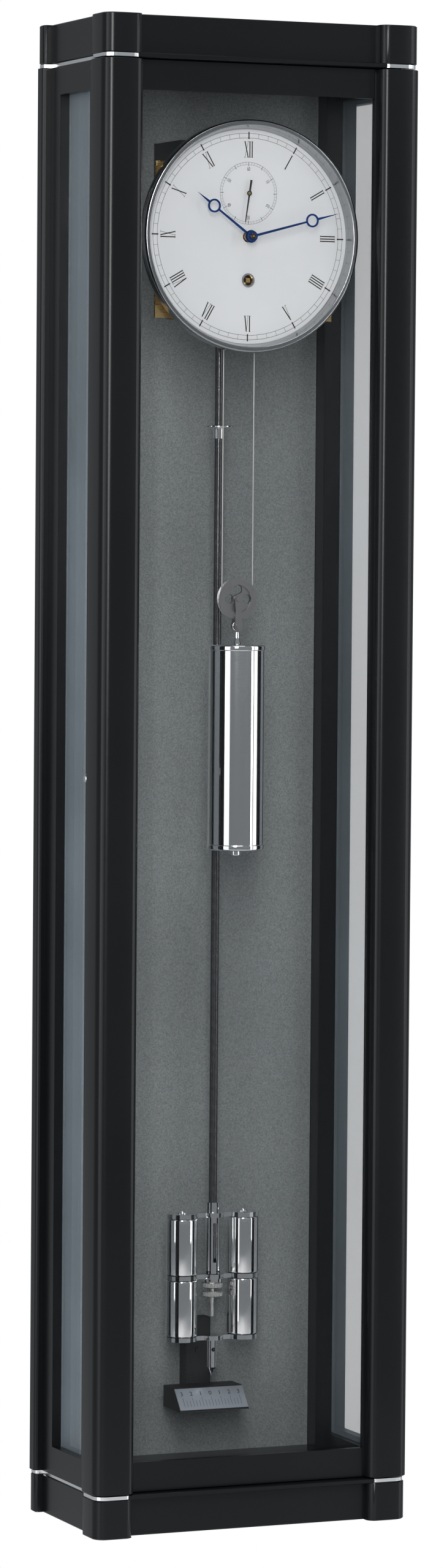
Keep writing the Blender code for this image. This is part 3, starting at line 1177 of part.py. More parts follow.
def make_weight():
    tie_z = PULLEY_Z - STIRRUP_LENGTH
    top = PULLEY_Z - WEIGHT_BELOW_PULLEY
    foot = top - WEIGHT_LENGTH - 2 * CAP_HEIGHT
    cap = WEIGHT_RADIUS + CAP_OVERHANG
    axis = (0, WEIGHT_Y)
    profile = [
        (0, foot - NUT_DROP), (WEIGHT_NUT_RADIUS, foot - NUT_DROP),
        (WEIGHT_NUT_RADIUS, foot), (cap - GAP, foot),
        (cap, foot + GAP), (cap, foot + CAP_HEIGHT - GAP), (cap - GAP, foot + CAP_HEIGHT),
        (WEIGHT_RADIUS, foot + CAP_HEIGHT), (WEIGHT_RADIUS, top - CAP_HEIGHT), (cap - GAP, top - CAP_HEIGHT),
        (cap, top - CAP_HEIGHT + GAP), (cap, top - GAP), (cap - GAP, top), (WEIGHT_NECK_RADIUS, top),
        (WEIGHT_SHANK_RADIUS, top + WEIGHT_NECK_RISE),
        (WEIGHT_SHANK_RADIUS, tie_z - TIE_RADIUS - SPARE), (0, tie_z - TIE_RADIUS - SPARE),
    ]
    weight = turned("weight_body", "Z", axis, profile, 40)
    eye = prism("eye", "Y", WEIGHT_Y - EYE_THICKNESS / 2, WEIGHT_Y + EYE_THICKNESS / 2,
                circle((0, tie_z), EYE_RADIUS, 16), [circle((0, tie_z), TIE_RADIUS + GAP, 16)])
    finish(joined(weight, eye), CHROME, round_piece=True)
    cheeks = [
        prism("cheek", "Y", low, low + CHEEK_THICKNESS, stirrup_outline(tie_z, PULLEY_Z))
        for low in (WEIGHT_Y - CHEEK_STAND - CHEEK_THICKNESS, WEIGHT_Y + CHEEK_STAND)
    ]
    reach = CHEEK_STAND + CHEEK_THICKNESS
    stirrup = rod("stirrup", "Y", (0, tie_z), TIE_RADIUS, WEIGHT_Y - reach - HEAD_PROUD,
                  WEIGHT_Y + reach + HEAD_PROUD)
    pin = rod("pin", "Y", (0, PULLEY_Z), PIN_RADIUS, WEIGHT_Y - reach - HEAD_PROUD,
              WEIGHT_Y + reach + HEAD_PROUD)
    heads = [
        rod("head", "Y", (0, PULLEY_Z), TIE_RADIUS, low, low + HEAD_PROUD + GAP)
        for low in (WEIGHT_Y - reach - HEAD_PROUD, WEIGHT_Y + reach - GAP)
    ]
    finish(joined(stirrup, pin, *cheeks, *heads), CHROME, round_piece=True)
    run = torus_arc("line_bight", (0, PULLEY_Z), GROOVE_RADIUS, WEIGHT_Y, 180, 360, 20)
    finish(run, LINE_GREY, round_piece=True)
    attach(body("weight", (0, WEIGHT_Y, PULLEY_Z)), weight, stirrup, run)

    groove = GROOVE_RADIUS - LINE_RADIUS - GAP
    half = PULLEY_THICKNESS / 2
    web = WEB_THICKNESS / 2
    hub = PULLEY_HUB_RADIUS
    rim = groove - PULLEY_RIM
    profile = [
        (PIN_RADIUS + GAP, WEIGHT_Y - half), (hub, WEIGHT_Y - half), (hub, WEIGHT_Y - web),
        (rim, WEIGHT_Y - web), (rim, WEIGHT_Y - half), (PULLEY_RADIUS, WEIGHT_Y - half),
        (PULLEY_RADIUS, WEIGHT_Y - half + GAP), (groove, WEIGHT_Y - LINE_RADIUS),
        (groove, WEIGHT_Y + LINE_RADIUS), (PULLEY_RADIUS, WEIGHT_Y + half - GAP),
        (PULLEY_RADIUS, WEIGHT_Y + half), (rim, WEIGHT_Y + half), (rim, WEIGHT_Y + web),
        (hub, WEIGHT_Y + web), (hub, WEIGHT_Y + half), (PIN_RADIUS + GAP, WEIGHT_Y + half),
    ]
    pulley = turned("pulley", "Y", (0, PULLEY_Z), profile, 32, ring=True)
    openings = [
        rod("opening", "Y", (WEB_HOLE_AT * math.cos(turn), PULLEY_Z + WEB_HOLE_AT * math.sin(turn)),
            WEB_HOLE_RADIUS,
            WEIGHT_Y - PULLEY_THICKNESS, WEIGHT_Y + PULLEY_THICKNESS, 16)
        for turn in (0, math.pi / 2, math.pi, 3 * math.pi / 2)
    ]
    finish(cut(pulley, *openings), CHROME, round_piece=True)
    attach(body("pulley", (0, WEIGHT_Y, PULLEY_Z)), pulley)
    strand("line_drum_side", GROOVE_RADIUS, PULLEY_Z + GAP, WINDING[1], LINE_GREY)
    stud_z = stud_place()[1] - STUD_END - 2 * GAP
    strand("line_fixed_side", -GROOVE_RADIUS, PULLEY_Z + GAP, stud_z, LINE_GREY)


def torus_arc(name, centre, radius, y, start, end, steps):
    """A round line bent along an arc in a plane that faces the front, with flat ends."""
    bm = bmesh.new()
    rings = []
    for i in range(steps + 1):
        turn = math.radians(start + (end - start) * i / steps)
        ring = []
        for u, v in circle((0, 0), LINE_RADIUS, 8):
            reach = radius + u
            ring.append(bm.verts.new((centre[0] + reach * math.cos(turn), y + v,
                                      centre[1] + reach * math.sin(turn))))
        rings.append(ring)
    for near, far in zip(rings, rings[1:]):
        for i in range(len(near)):
            j = (i + 1) % len(near)
            bm.faces.new((near[i], near[j], far[j], far[i]))
    bm.faces.new(rings[0])
    bm.faces.new(rings[-1])
    return new_object(name, bm)


# Beat scale


def make_scale():
    """The sloped block that carries the beat scale, on a bracket fixed to the back panel."""
    top = BOB_HEIGHT - BOB_PITCH - LINK_THICKNESS / 2 - POINTER_LENGTH - POINTER_CONE - SCALE_BELOW_POINTER
    foot = top - SCALE_HEIGHT
    bracket_y = BACK_Y - GAP - SCALE_BRACKET_THICKNESS
    section = [
        (bracket_y + GAP, foot), (bracket_y + GAP, top), (bracket_y - SCALE_TOP_DEPTH, top),
        (bracket_y - SCALE_FOOT_DEPTH, foot),
    ]
    half = SCALE_BRACKET_WIDTH / 2
    bracket = box("scale_bracket", (-half, half), (bracket_y, BACK_Y - GAP),
                  (foot + GAP, top + SCALE_BRACKET_RISE))
    block = prism("block", "X", -SCALE_WIDTH / 2, SCALE_WIDTH / 2, section)
    screw = rod("screw", "Y", (0, top + SCALE_BRACKET_RISE / 2), SCALE_SCREW_RADIUS,
                bracket_y - SCALE_SCREW_HEAD, bracket_y + SPARE)
    finish(joined(bracket, block, screw), BLACK_METAL)
    # The plate lies on the slope, a gap above it.
    run = SCALE_FOOT_DEPTH - SCALE_TOP_DEPTH
    slope = math.hypot(run, SCALE_HEIGHT)
    normal = (-SCALE_HEIGHT / slope, run / slope)

    def on_slope(share, stand):
        y = bracket_y - SCALE_FOOT_DEPTH + run * share + normal[0] * stand
        return (y, foot + SCALE_HEIGHT * share + normal[1] * stand)

    plate = [on_slope(0.06, GAP), on_slope(0.94, GAP), on_slope(0.94, GAP + SCALE_PLATE_THICKNESS),
             on_slope(0.06, GAP + SCALE_PLATE_THICKNESS)]
    width = SCALE_WIDTH - SCALE_MARGIN
    finish(prism("scale_plate", "X", -width / 2, width / 2, plate), SILVER_DIAL)


def move_to_hanger():
    """Moves the whole model so that the origin is at the hanging plate, in the plane of the wall."""
    for obj in bpy.data.objects:
        if obj.parent is None:
            obj.location -= Vector((0, WALL_Y, HANGER_Z))


def main():
    for obj in list(bpy.data.objects):
        bpy.data.objects.remove(obj)
    make_ends()
    make_sides()
    make_back()
    make_door()
    make_latch()
    make_dial()
    escape_y = make_train()
    make_plates()
    make_bracket()
    make_anchor(escape_y)
    make_bob()
    make_weight()
    make_scale()
    move_to_hanger()


main()
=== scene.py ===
# %% [markdown]
# # A wall regulator, dressed for looking at
# The measured model of the clock is loaded first and never moved. Everything after this cell either
# gives one of its pieces a finish or lays a finer surface over it, in the same metres.

import math

import bpy
import numpy as np
from mathutils import Matrix, Vector


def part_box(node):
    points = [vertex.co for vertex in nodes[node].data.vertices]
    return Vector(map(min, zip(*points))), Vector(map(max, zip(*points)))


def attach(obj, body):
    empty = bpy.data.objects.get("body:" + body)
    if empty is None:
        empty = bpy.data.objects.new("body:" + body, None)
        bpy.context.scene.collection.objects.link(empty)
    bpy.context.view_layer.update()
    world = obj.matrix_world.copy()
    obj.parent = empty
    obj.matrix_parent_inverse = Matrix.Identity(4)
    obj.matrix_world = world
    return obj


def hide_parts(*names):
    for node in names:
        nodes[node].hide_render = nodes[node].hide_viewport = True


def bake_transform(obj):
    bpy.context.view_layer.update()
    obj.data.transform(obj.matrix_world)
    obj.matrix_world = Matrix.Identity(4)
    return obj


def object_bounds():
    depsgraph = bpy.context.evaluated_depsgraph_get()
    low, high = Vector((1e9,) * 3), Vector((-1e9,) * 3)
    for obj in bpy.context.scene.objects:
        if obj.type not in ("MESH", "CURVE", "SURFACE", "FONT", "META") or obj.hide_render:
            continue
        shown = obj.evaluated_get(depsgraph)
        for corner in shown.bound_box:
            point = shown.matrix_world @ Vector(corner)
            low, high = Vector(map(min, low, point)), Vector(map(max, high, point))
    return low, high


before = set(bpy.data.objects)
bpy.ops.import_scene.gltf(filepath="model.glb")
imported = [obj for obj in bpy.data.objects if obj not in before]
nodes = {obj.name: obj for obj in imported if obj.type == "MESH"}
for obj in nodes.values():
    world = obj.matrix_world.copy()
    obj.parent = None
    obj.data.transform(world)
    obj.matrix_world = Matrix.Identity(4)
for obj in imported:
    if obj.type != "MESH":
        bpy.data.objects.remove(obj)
cad_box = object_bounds()
MM = 0.001

# %% [markdown]
# Places come from the boxes of the measured pieces, so that a change to the model carries through.

# %% Places


def middle(node):
    low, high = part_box(node)
    return (low + high) / 2


def span(node):
    low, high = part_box(node)
    return high - low


dial_centre = middle("dial_plate")
dial_centre.z = middle("bezel").z
dial_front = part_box("dial_plate")[0].y
print("dial centre", [round(v, 4) for v in dial_centre], "dial front", round(dial_front, 4))

# %% [markdown]
# ## The camera
# The clock hangs a little to the right of the viewer and is seen from its front left with a long
# lens, which keeps its tall sides nearly parallel. A camera looks along its own -Z, so its three
# axes are built from a turn, a downward tilt and a slight roll.

# %% Camera
turn, tilt, roll = (math.radians(v) for v in (23.131, 2.784, -0.447))
ahead = Vector((math.sin(turn), math.cos(turn), 0))
right = Vector((math.cos(turn), -math.sin(turn), 0))
down = Vector((0, 0, -1))
look = ahead * math.cos(tilt) + down * math.sin(tilt)
drop = down * math.cos(tilt) - ahead * math.sin(tilt)
side = right * math.cos(roll) + drop * math.sin(roll)
lower = drop * math.cos(roll) - right * math.sin(roll)
camera = bpy.data.objects.new("camera", bpy.data.cameras.new("camera"))
camera.data.lens = 123.96
camera.data.sensor_width = 36
camera.data.clip_end = 60
axes = Matrix((side, -lower, -look)).transposed()
camera.matrix_world = Matrix.Translation((-1.8785, -4.4766, -0.3555)) @ axes.to_4x4()
bpy.context.scene.collection.objects.link(camera)
bpy.context.scene.camera = camera
print("lens", camera.data.lens)

# %% [markdown]
# ## Materials
# One helper makes every finish. It starts from the Principled shader and adds three things that a
# real surface has: a slow change of tone, a change of roughness, and a fine bump. All are noise on
# Object coordinates, so they stay put on the piece. A stretch in one direction turns the noise into
# brushing.

# %% Finish helper


def noise(tree, scale, detail=3.0, stretch=(1, 1, 1)):
    """A noise texture on Object coordinates, in bumps per metre, stretched by a Mapping node."""
    coords = tree.nodes.new("ShaderNodeTexCoord")
    mapping = tree.nodes.new("ShaderNodeMapping")
    mapping.inputs["Scale"].default_value = stretch
    texture = tree.nodes.new("ShaderNodeTexNoise")
    texture.inputs["Scale"].default_value = scale
    texture.inputs["Detail"].default_value = detail
    tree.links.new(coords.outputs["Object"], mapping.inputs["Vector"])
    tree.links.new(mapping.outputs["Vector"], texture.inputs["Vector"])
    return texture.outputs["Fac"]


def ramp(tree, source, low, high):
    """Noise mapped to a range, with its middle half spread over the whole range."""
    node = tree.nodes.new("ShaderNodeMapRange")
    node.inputs["From Min"].default_value = 0.3
    node.inputs["From Max"].default_value = 0.7
    node.inputs["To Min"].default_value = low
    node.inputs["To Max"].default_value = high
    tree.links.new(source, node.inputs["Value"])
    return node.outputs["Result"]


def make_finish(name, colour, rough, metal=0.0, tone=0.1, tone_scale=8, rough_spread=0.04,
                grain=600, stretch=(1, 1, 1), bump=0.02, depth=0.00005, coat=0.0):
    material = bpy.data.materials.new(name)
    material.use_nodes = True
    tree = material.node_tree
    shader = tree.nodes["Principled BSDF"]
    shader.inputs["Metallic"].default_value = metal
    shader.inputs["Coat Weight"].default_value = coat
    shader.inputs["Coat Roughness"].default_value = 0.06
    mix = tree.nodes.new("ShaderNodeMix")
    mix.data_type = "RGBA"
    mix.inputs["A"].default_value = (*(c * (1 - tone) for c in colour), 1)
    mix.inputs["B"].default_value = (*(min(1, c * (1 + tone)) for c in colour), 1)
    tree.links.new(ramp(tree, noise(tree, tone_scale, 2.0), 0, 1), mix.inputs["Factor"])
    tree.links.new(mix.outputs["Result"], shader.inputs["Base Color"])
    fine = noise(tree, grain, 4.0, stretch)
    tree.links.new(ramp(tree, fine, max(0.01, rough - rough_spread), rough + rough_spread),
                   shader.inputs["Roughness"])
    relief = tree.nodes.new("ShaderNodeBump")
    relief.inputs["Strength"].default_value = bump
    relief.inputs["Distance"].default_value = depth
    tree.links.new(fine, relief.inputs["Height"])
    tree.links.new(relief.outputs["Normal"], shader.inputs["Normal"])
    return material


# %% [markdown]
# The case is sprayed wood, rubbed to a satin black: nearly no colour, a soft sheen, and the faint
# orange peel of a sprayed coat. The bands are bright drawn aluminium, with grain along their length.

# %% Case finishes
lacquer = make_finish("satin_black_lacquer", (0.0042, 0.0048, 0.0056), 0.24, tone=0.2, tone_scale=5,
                      rough_spread=0.015, grain=260, bump=0.004)
lacquer.node_tree.nodes["Principled BSDF"].inputs["Specular IOR Level"].default_value = 0.24
band_metal = make_finish("drawn_aluminium", (0.86, 0.87, 0.88), 0.2, 1.0, tone=0.04, grain=900,
                         stretch=(0.02, 0.02, 1), bump=0.05)
panel_grey = make_finish("speckled_grey_lacquer", (0.215, 0.234, 0.236), 0.5, 0.1, tone=0.15, tone_scale=3.2,
                         rough_spread=0.1, grain=1100, bump=0.12, depth=0.0001)

# %% [markdown]
# The back panel is sprayed with a grey full of tiny light and dark flecks. A second, much finer
# noise is laid over the slow clouds of the base tone to give them.

# %% Flecks on the back panel
tree = panel_grey.node_tree
shader = tree.nodes["Principled BSDF"]
base_link = shader.inputs["Base Color"].links[0].from_socket
flecks = tree.nodes.new("ShaderNodeMix")
flecks.data_type = "RGBA"
flecks.blend_type = "MULTIPLY"
flecks.inputs["Factor"].default_value = 1.0
speck = tree.nodes.new("ShaderNodeCombineColor")
fleck_value = ramp(tree, noise(tree, 900, 5.0), 0.7, 1.3)
for channel in ("Red", "Green", "Blue"):
    tree.links.new(fleck_value, speck.inputs[channel])
tree.links.new(base_link, flecks.inputs["A"])
tree.links.new(speck.outputs["Color"], flecks.inputs["B"])
tree.links.new(flecks.outputs["Result"], shader.inputs["Base Color"])
print("panel nodes:", len(tree.nodes))

# %% [markdown]
# The weight, the bob and the bezel are polished steel plated bright. Turned work keeps very fine
# marks round its axis, so the grain is stretched round about and is only just rough enough to see.
# Brass plates are brushed one way; the hands are steel heated until it turns blue.

# %% Metals
chrome = make_finish("polished_plate", (0.84, 0.845, 0.85), 0.055, 1.0, tone=0.02, rough_spread=0.02,
                     grain=700, stretch=(0.1, 0.1, 3), bump=0.01)
chrome_dial = make_finish("polished_bezel", (0.4, 0.41, 0.42), 0.2, 1.0, tone=0.02, rough_spread=0.03,
                          grain=500, bump=0.01)
satin_steel = make_finish("satin_steel", (0.62, 0.62, 0.61), 0.26, 1.0, tone=0.06, rough_spread=0.06,
                          grain=800, stretch=(3, 0.2, 0.2), bump=0.04)
wheel_steel = make_finish("grey_wheel_steel", (0.3, 0.3, 0.3), 0.38, 1.0, tone=0.08, rough_spread=0.06,
                          grain=900, stretch=(3, 0.2, 0.2), bump=0.03)
brass = make_finish("brushed_brass", (0.75, 0.53, 0.23), 0.27, 1.0, tone=0.08, rough_spread=0.06,
                    grain=700, stretch=(0.06, 1, 1), bump=0.08)
blued = make_finish("blued_steel", (0.012, 0.06, 0.26), 0.22, 0.75, tone=0.3, tone_scale=60, grain=900)
bronze = make_finish("dark_bronze", (0.11, 0.07, 0.045), 0.25, 1.0, tone=0.15, tone_scale=80)
matt_black = make_finish("matt_black_enamel", (0.012, 0.0125, 0.013), 0.5, 0.1, tone=0.2, grain=700,
                         bump=0.12)
line_metal = make_finish("stranded_line", (0.6, 0.6, 0.58), 0.4, 0.7, tone=0.1, grain=1500,
                         stretch=(1, 1, 2), bump=0.4, depth=0.0002)

# %% [markdown]
# The dial is silvered and matt, and its print is a flat black ink. The pendulum rod is a wound
# carbon tube under clear lacquer: crossed bands of two near blacks under a gloss coat.

# %% Dial, ink and carbon
dial_silver = make_finish("silvered_dial", (0.7, 0.71, 0.72), 0.42, 0.05, tone=0.015, tone_scale=20,
                          rough_spread=0.05, grain=1400, bump=0.05)
ink = make_finish("black_ink", (0.006, 0.006, 0.007), 0.45, tone=0.1, tone_scale=200, grain=1500)
scale_silver = make_finish("silvered_scale", (0.4, 0.44, 0.49), 0.34, 0.6, tone=0.05, tone_scale=30,
                           rough_spread=0.05, grain=900, stretch=(0.1, 1, 1), bump=0.05)
carbon = make_finish("wound_carbon", (0.02, 0.022, 0.026), 0.3, 0.0, tone=0.2, coat=0.8)
tree = carbon.node_tree
wave = tree.nodes.new("ShaderNodeTexWave")
wave.bands_direction = "DIAGONAL"
wave.inputs["Scale"].default_value = 60
wave.inputs["Distortion"].default_value = 1.5
coords = tree.nodes.new("ShaderNodeTexCoord")
tree.links.new(coords.outputs["Object"], wave.inputs["Vector"])
weave = tree.nodes.new("ShaderNodeMix")
weave.data_type = "RGBA"
weave.inputs["A"].default_value = (0.011, 0.012, 0.014, 1)
weave.inputs["B"].default_value = (0.022, 0.024, 0.028, 1)
tree.links.new(wave.outputs["Fac"], weave.inputs["Factor"])
tree.links.new(weave.outputs["Result"], tree.nodes["Principled BSDF"].inputs["Base Color"])

# %% [markdown]
# Clear panes are nearly invisible seen straight on. A pane with a low alpha lets light and shadow
# through in one step, and keeps a weak reflection; smears come from a slow noise in its roughness.

# %% Glass
glass = make_finish("clear_pane", (0.01, 0.012, 0.013), 0.03, tone=0.02, rough_spread=0.015, grain=12,
                    bump=0.0)
glass.node_tree.nodes["Principled BSDF"].inputs["Alpha"].default_value = 0.1
side_pane = make_finish("side_pane", (0.3, 0.36, 0.4), 0.05, tone=0.1, rough_spread=0.015, grain=12,
                        bump=0.0)
side_pane.node_tree.nodes["Principled BSDF"].inputs["Alpha"].default_value = 0.32
print("finishes:", len(bpy.data.materials))

# %% [markdown]
# ## Helpers that make surfaces
# A new piece is a grid of points: rows along one parameter, columns along the other. Turned pieces
# carry a profile round an axis; columns and bands carry an outline along Z.

# %% Grid helper


def grid_piece(name, points, close_rows=False, close_columns=True, caps=False):
    """Joins neighbouring points of an (n, m, 3) array into four-sided faces; caps fill the end rows."""
    n, m, _ = points.shape
    rows = np.arange(n if close_rows else n - 1)
    columns = np.arange(m if close_columns else m - 1)
    i, j = np.meshgrid(rows, columns, indexing="ij")
    i2, j2 = (i + 1) % n, (j + 1) % m
    faces = np.stack([i * m + j, i * m + j2, i2 * m + j2, i2 * m + j], -1).reshape(-1, 4).tolist()
    if caps:
        faces.append(list(range(m - 1, -1, -1)))
        faces.append(list(range((n - 1) * m, n * m)))
    mesh = bpy.data.meshes.new(name)
    mesh.from_pydata(points.reshape(-1, 3).tolist(), [], faces)
    volume = signed_volume(mesh)
    if volume < 0:
        mesh.flip_normals()
    mesh.shade_smooth()
    mesh.set_sharp_from_angle(angle=math.radians(32))
    piece = bpy.data.objects.new(name, mesh)
    bpy.context.scene.collection.objects.link(piece)
    return piece


def signed_volume(mesh):
    """The sum over triangles of a . (b x c) / 6: positive when the faces point outwards."""
    mesh.calc_loop_triangles()
    points = np.zeros(len(mesh.vertices) * 3)
    mesh.vertices.foreach_get("co", points)
    corners = np.zeros(len(mesh.loop_triangles) * 3, int)
    mesh.loop_triangles.foreach_get("vertices", corners)
    points = points.reshape(-1, 3)
    points = points - points.mean(0)
    a, b, c = np.moveaxis(points[corners.reshape(-1, 3)], 1, 0)
    return float((a * np.cross(b, c)).sum() / 6)


def turned(name, axis, centre, profile, steps=96, ring=False, ripple=None):
    """Radius and height of each profile point carried round the axis: (r cos t, r sin t) across it.
    A ring closes its profile; ripple(t) is added to the radius for knurling."""
    profile = np.array(profile, float)
    t = np.linspace(0, 2 * math.pi, steps, endpoint=False)
    radius = profile[:, :1] + (0 if ripple is None else ripple(profile, t))
    across = radius * np.cos(t), radius * np.sin(t)
    along = np.broadcast_to(profile[:, 1:], radius.shape if ripple is not None else (len(profile), steps))
    along = np.broadcast_to(along, across[0].shape)
    order = {"Z": (across[0] + centre[0], across[1] + centre[1], along),
             "Y": (across[0] + centre[0], along, across[1] + centre[1]),
             "X": (along, across[0] + centre[0], across[1] + centre[1])}[axis]
    return grid_piece(name, np.stack(order, -1), close_rows=ring, caps=not ring)


def rounded(points, radius, steps=5):
    """Each inner corner of an open profile replaced by a curve that starts and ends a radius from it."""
    out = [points[0]]
    for before, corner, after in zip(points, points[1:], points[2:]):
        before, corner, after = (np.array(p, float) for p in (before, corner, after))
        reach = min(radius, np.linalg.norm(corner - before) / 2.2, np.linalg.norm(after - corner) / 2.2)
        start = corner + (before - corner) / np.linalg.norm(before - corner) * reach
        end = corner + (after - corner) / np.linalg.norm(after - corner) * reach
        for k in np.linspace(0, 1, steps):
            out.append(tuple((1 - k) ** 2 * start + 2 * k * (1 - k) * corner + k * k * end))
    return out + [points[-1]]


def dress(piece, body, slot, material, *stands_for):
    """Gives a new piece its finish and the body it moves with, and hides the pieces it stands for; slot is
    not used.
    """
    piece.data.materials.append(material)
    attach(piece, body)
    if stands_for:
        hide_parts(*stands_for)
    return piece


# %% [markdown]
# ## Finishes for the measured pieces
# Pieces whose measured shape is already right keep it, and only change their finish.

# %% Give each measured piece its finish
finish_of = {
    lacquer: "crown_block base_block side_frame_left side_frame_right door_post_left door_post_right "
             "door_rail_top door_rail_bottom door_bead",
    band_metal: "crown_band base_band",
    glass: "door_glass",
    side_pane: "side_glass_left side_glass_right",
    panel_grey: "back_panel",
    satin_steel: "wall_hanger door_pivot_lower door_pivot_upper anchor suspension_spring "
                 "rating_screw",
    wheel_steel: "pulley stirrup",
    chrome: "latch_collar latch_knob bezel winding_grommet weight_tray bob_link_top bob_link_middle "
            "bob_link_bottom bob_cylinder_left bob_cylinder_right bob_tube rating_nut lock_nut pointer "
            "weight_body",
    dial_silver: "dial_plate",
    scale_silver: "scale_plate",
    blued: "minute_hand hour_hand",
    matt_black: "seconds_hand movement_bracket scale_bracket",
    bronze: "hand_nut",
    brass: "front_plate back_plate winding_drum great_wheel centre_wheel third_wheel escape_wheel "
           "minute_wheel hour_wheel",
    carbon: "pendulum_rod",
    line_metal: "line_drum_side line_fixed_side line_bight",
}
for material, names in finish_of.items():
    for name in names.split():
        nodes[name].data.materials.clear()
        nodes[name].data.materials.append(material)
print("finished nodes:", sum(len(n.split()) for n in finish_of.values()))

# %% [markdown]
# ## Corner posts
# Each door post is a moulded stile: a flat lip against the glass, a rounded inner shoulder, a wide
# round at the outer corner and a small one behind. The outline is carried straight up, and its two
# ends are drawn in by a hair so that their edges catch the light.

# %% Door posts


def arc(cx, cy, radius, start, end, steps=10):
    """Points at a fixed radius from a centre, from one angle to another, in degrees."""
    t = np.radians(np.linspace(start, end, steps))
    return list(zip(cx + radius * np.cos(t), cy + radius * np.sin(t)))


def column(name, outline, low, high, ease=0.5 * MM):
    """The outline at four heights; the first and last are drawn in by ease towards the middle."""
    outline = np.array(outline)
    centre = (outline.min(0) + outline.max(0)) / 2
    half = (outline.max(0) - outline.min(0)) / 2
    drawn = centre + (outline - centre) * (1 - ease / half)
    rows = [(drawn, low), (outline, low + ease), (outline, high - ease), (drawn, high)]
    points = np.stack([np.column_stack([o, np.full(len(o), z)]) for o, z in rows])
    return grid_piece(name, points, caps=True)


REBATE = 11 * MM
LIP_DEPTH = 5 * MM
SHOULDER_RADIUS = 8 * MM
CORNER_RADIUS = 10 * MM
BACK_RADIUS = 6 * MM
LIP_WIDTH = 2 * MM


def post_outline():
    """The right post seen from above, from the lip of the glass round to the back."""
    low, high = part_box("door_post_right")
    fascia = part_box("door_rail_top")[0].y
    lip, outer, front, back = low.x, high.x, low.y, high.y
    inner = lip + LIP_WIDTH
    points = [(lip, fascia), (inner - 0.4 * MM, fascia)]
    points += arc(inner + SHOULDER_RADIUS, front + 8.2 * MM, SHOULDER_RADIUS, 180, 264)
    points += [((inner + outer) / 2, front)]
    points += arc(outer - CORNER_RADIUS, front + 10.2 * MM, CORNER_RADIUS, 276, 360, 14)
    points += arc(outer - BACK_RADIUS, back - BACK_RADIUS, BACK_RADIUS, 0, 90)
    return points + [(lip + REBATE, back), (lip + REBATE, fascia + LIP_DEPTH), (lip, fascia + LIP_DEPTH)]


outline = post_outline()
flipped = [(-x, y) for x, y in reversed(outline)]
for name, shape in (("door_post_right", outline), ("door_post_left", flipped)):
    low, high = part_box(name)
    post = column(name + "_moulded", shape, low.z, high.z)
    dress(post, "door", "black_lacquer", lacquer, name)
print("post outline points:", len(outline))

# %% [markdown]
# ## Crown and base
# The crown and the base are cut to the whole plan of the case, posts included. The block is carried
# up like a post; the shallower core and the board inside the case are two plain slabs behind it.

# %% Crown and base blocks


def case_outline(inset):
    """Half the plan drawn in by inset, from the front's middle to the back's, and its mirror image."""
    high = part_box("door_post_right")[1]
    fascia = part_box("door_rail_top")[0].y + inset
    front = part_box("door_post_right")[0].y + inset
    outer = high.x - inset
    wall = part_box("side_frame_right")[1].y - inset
    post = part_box("door_post_right")[0].x + LIP_WIDTH + inset
    side_x = high.x - 7 * MM - inset
    rear = wall - 17.3 * MM + 2 * inset
    half = [(post, fascia)]
    half += arc(post + SHOULDER_RADIUS, front + 8.2 * MM, SHOULDER_RADIUS, 180, 264)
    half += [((post + outer) / 2, front)]
    half += arc(outer - CORNER_RADIUS, front + 10.2 * MM, CORNER_RADIUS, 276, 360, 14)
    half += arc(outer - BACK_RADIUS, high.y - BACK_RADIUS, BACK_RADIUS, 0, 98, 8)
    half += [(side_x, rear)]
    half += arc(outer - 3 * MM, rear + 3 * MM, 3 * MM, 270, 360, 6)
    half += arc(outer - BACK_RADIUS, wall - BACK_RADIUS, BACK_RADIUS, 0, 90, 8)
    return half + [(-x, y) for x, y in reversed(half)]


def slab(x, y):
    """A rectangle with its corners eased by half a millimetre."""
    e = 0.5 * MM
    return [(x[0] + e, y[0]), (x[1] - e, y[0]), (x[1], y[0] + e), (x[1], y[1] - e),
            (x[1] - e, y[1]), (x[0] + e, y[1]), (x[0], y[1] - e), (x[0], y[0] + e)]


BATTEN_WIDTH = 10 * MM
BATTEN_FRONT = 37.9 * MM
BLOCK_TALL = 34.1 * MM
CORE_LEVELS = (33.6 * MM, 37.7 * MM)
BOARD_LEVELS = (37.2 * MM, 46 * MM)
CORE_HALF = 137 * MM
board_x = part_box("back_panel")[1].x
board_y = (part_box("side_frame_right")[0].y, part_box("back_panel")[0].y - 0.3 * MM)


def board_outline():
    """The board inside the case: wide up to the battens, then narrow between them to the back panel."""
    wide, step = board_x + BATTEN_WIDTH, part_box("side_frame_right")[1].y - BATTEN_FRONT
    half = [(wide, board_y[0]), (wide, step), (board_x, step), (board_x, board_y[1])]
    return half + [(-x, y) for x, y in reversed(half)]


for name, up in (("base_block", 1), ("crown_block", -1)):
    low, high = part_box(name)
    start = low.z if up > 0 else high.z
    levels = sorted((start, start + up * BLOCK_TALL))
    block = column(name + "_moulded", case_outline(1 * MM), levels[0], levels[1], 0.8 * MM)
    dress(block, "case", "black_lacquer", lacquer, name)
    inner = sorted(start + up * level for level in CORE_LEVELS)
    core_y = (board_y[0] - 35 * MM, board_y[1] + 15 * MM)
    core = column(name + "_core", slab((-CORE_HALF, CORE_HALF), core_y), *inner)
    dress(core, "case", "black_lacquer", lacquer)
    inner = sorted(start + up * level for level in BOARD_LEVELS)
    board = column(name + "_board", board_outline(), *inner)
    dress(board, "case", "black_lacquer", lacquer)
print("crown and base made")

# %% [markdown]
# ## Bezel
# The bezel is a turned ring: a rounded outer rim, a narrow flat, and a polished wall that slopes
# down to the dial and mirrors its minute track.

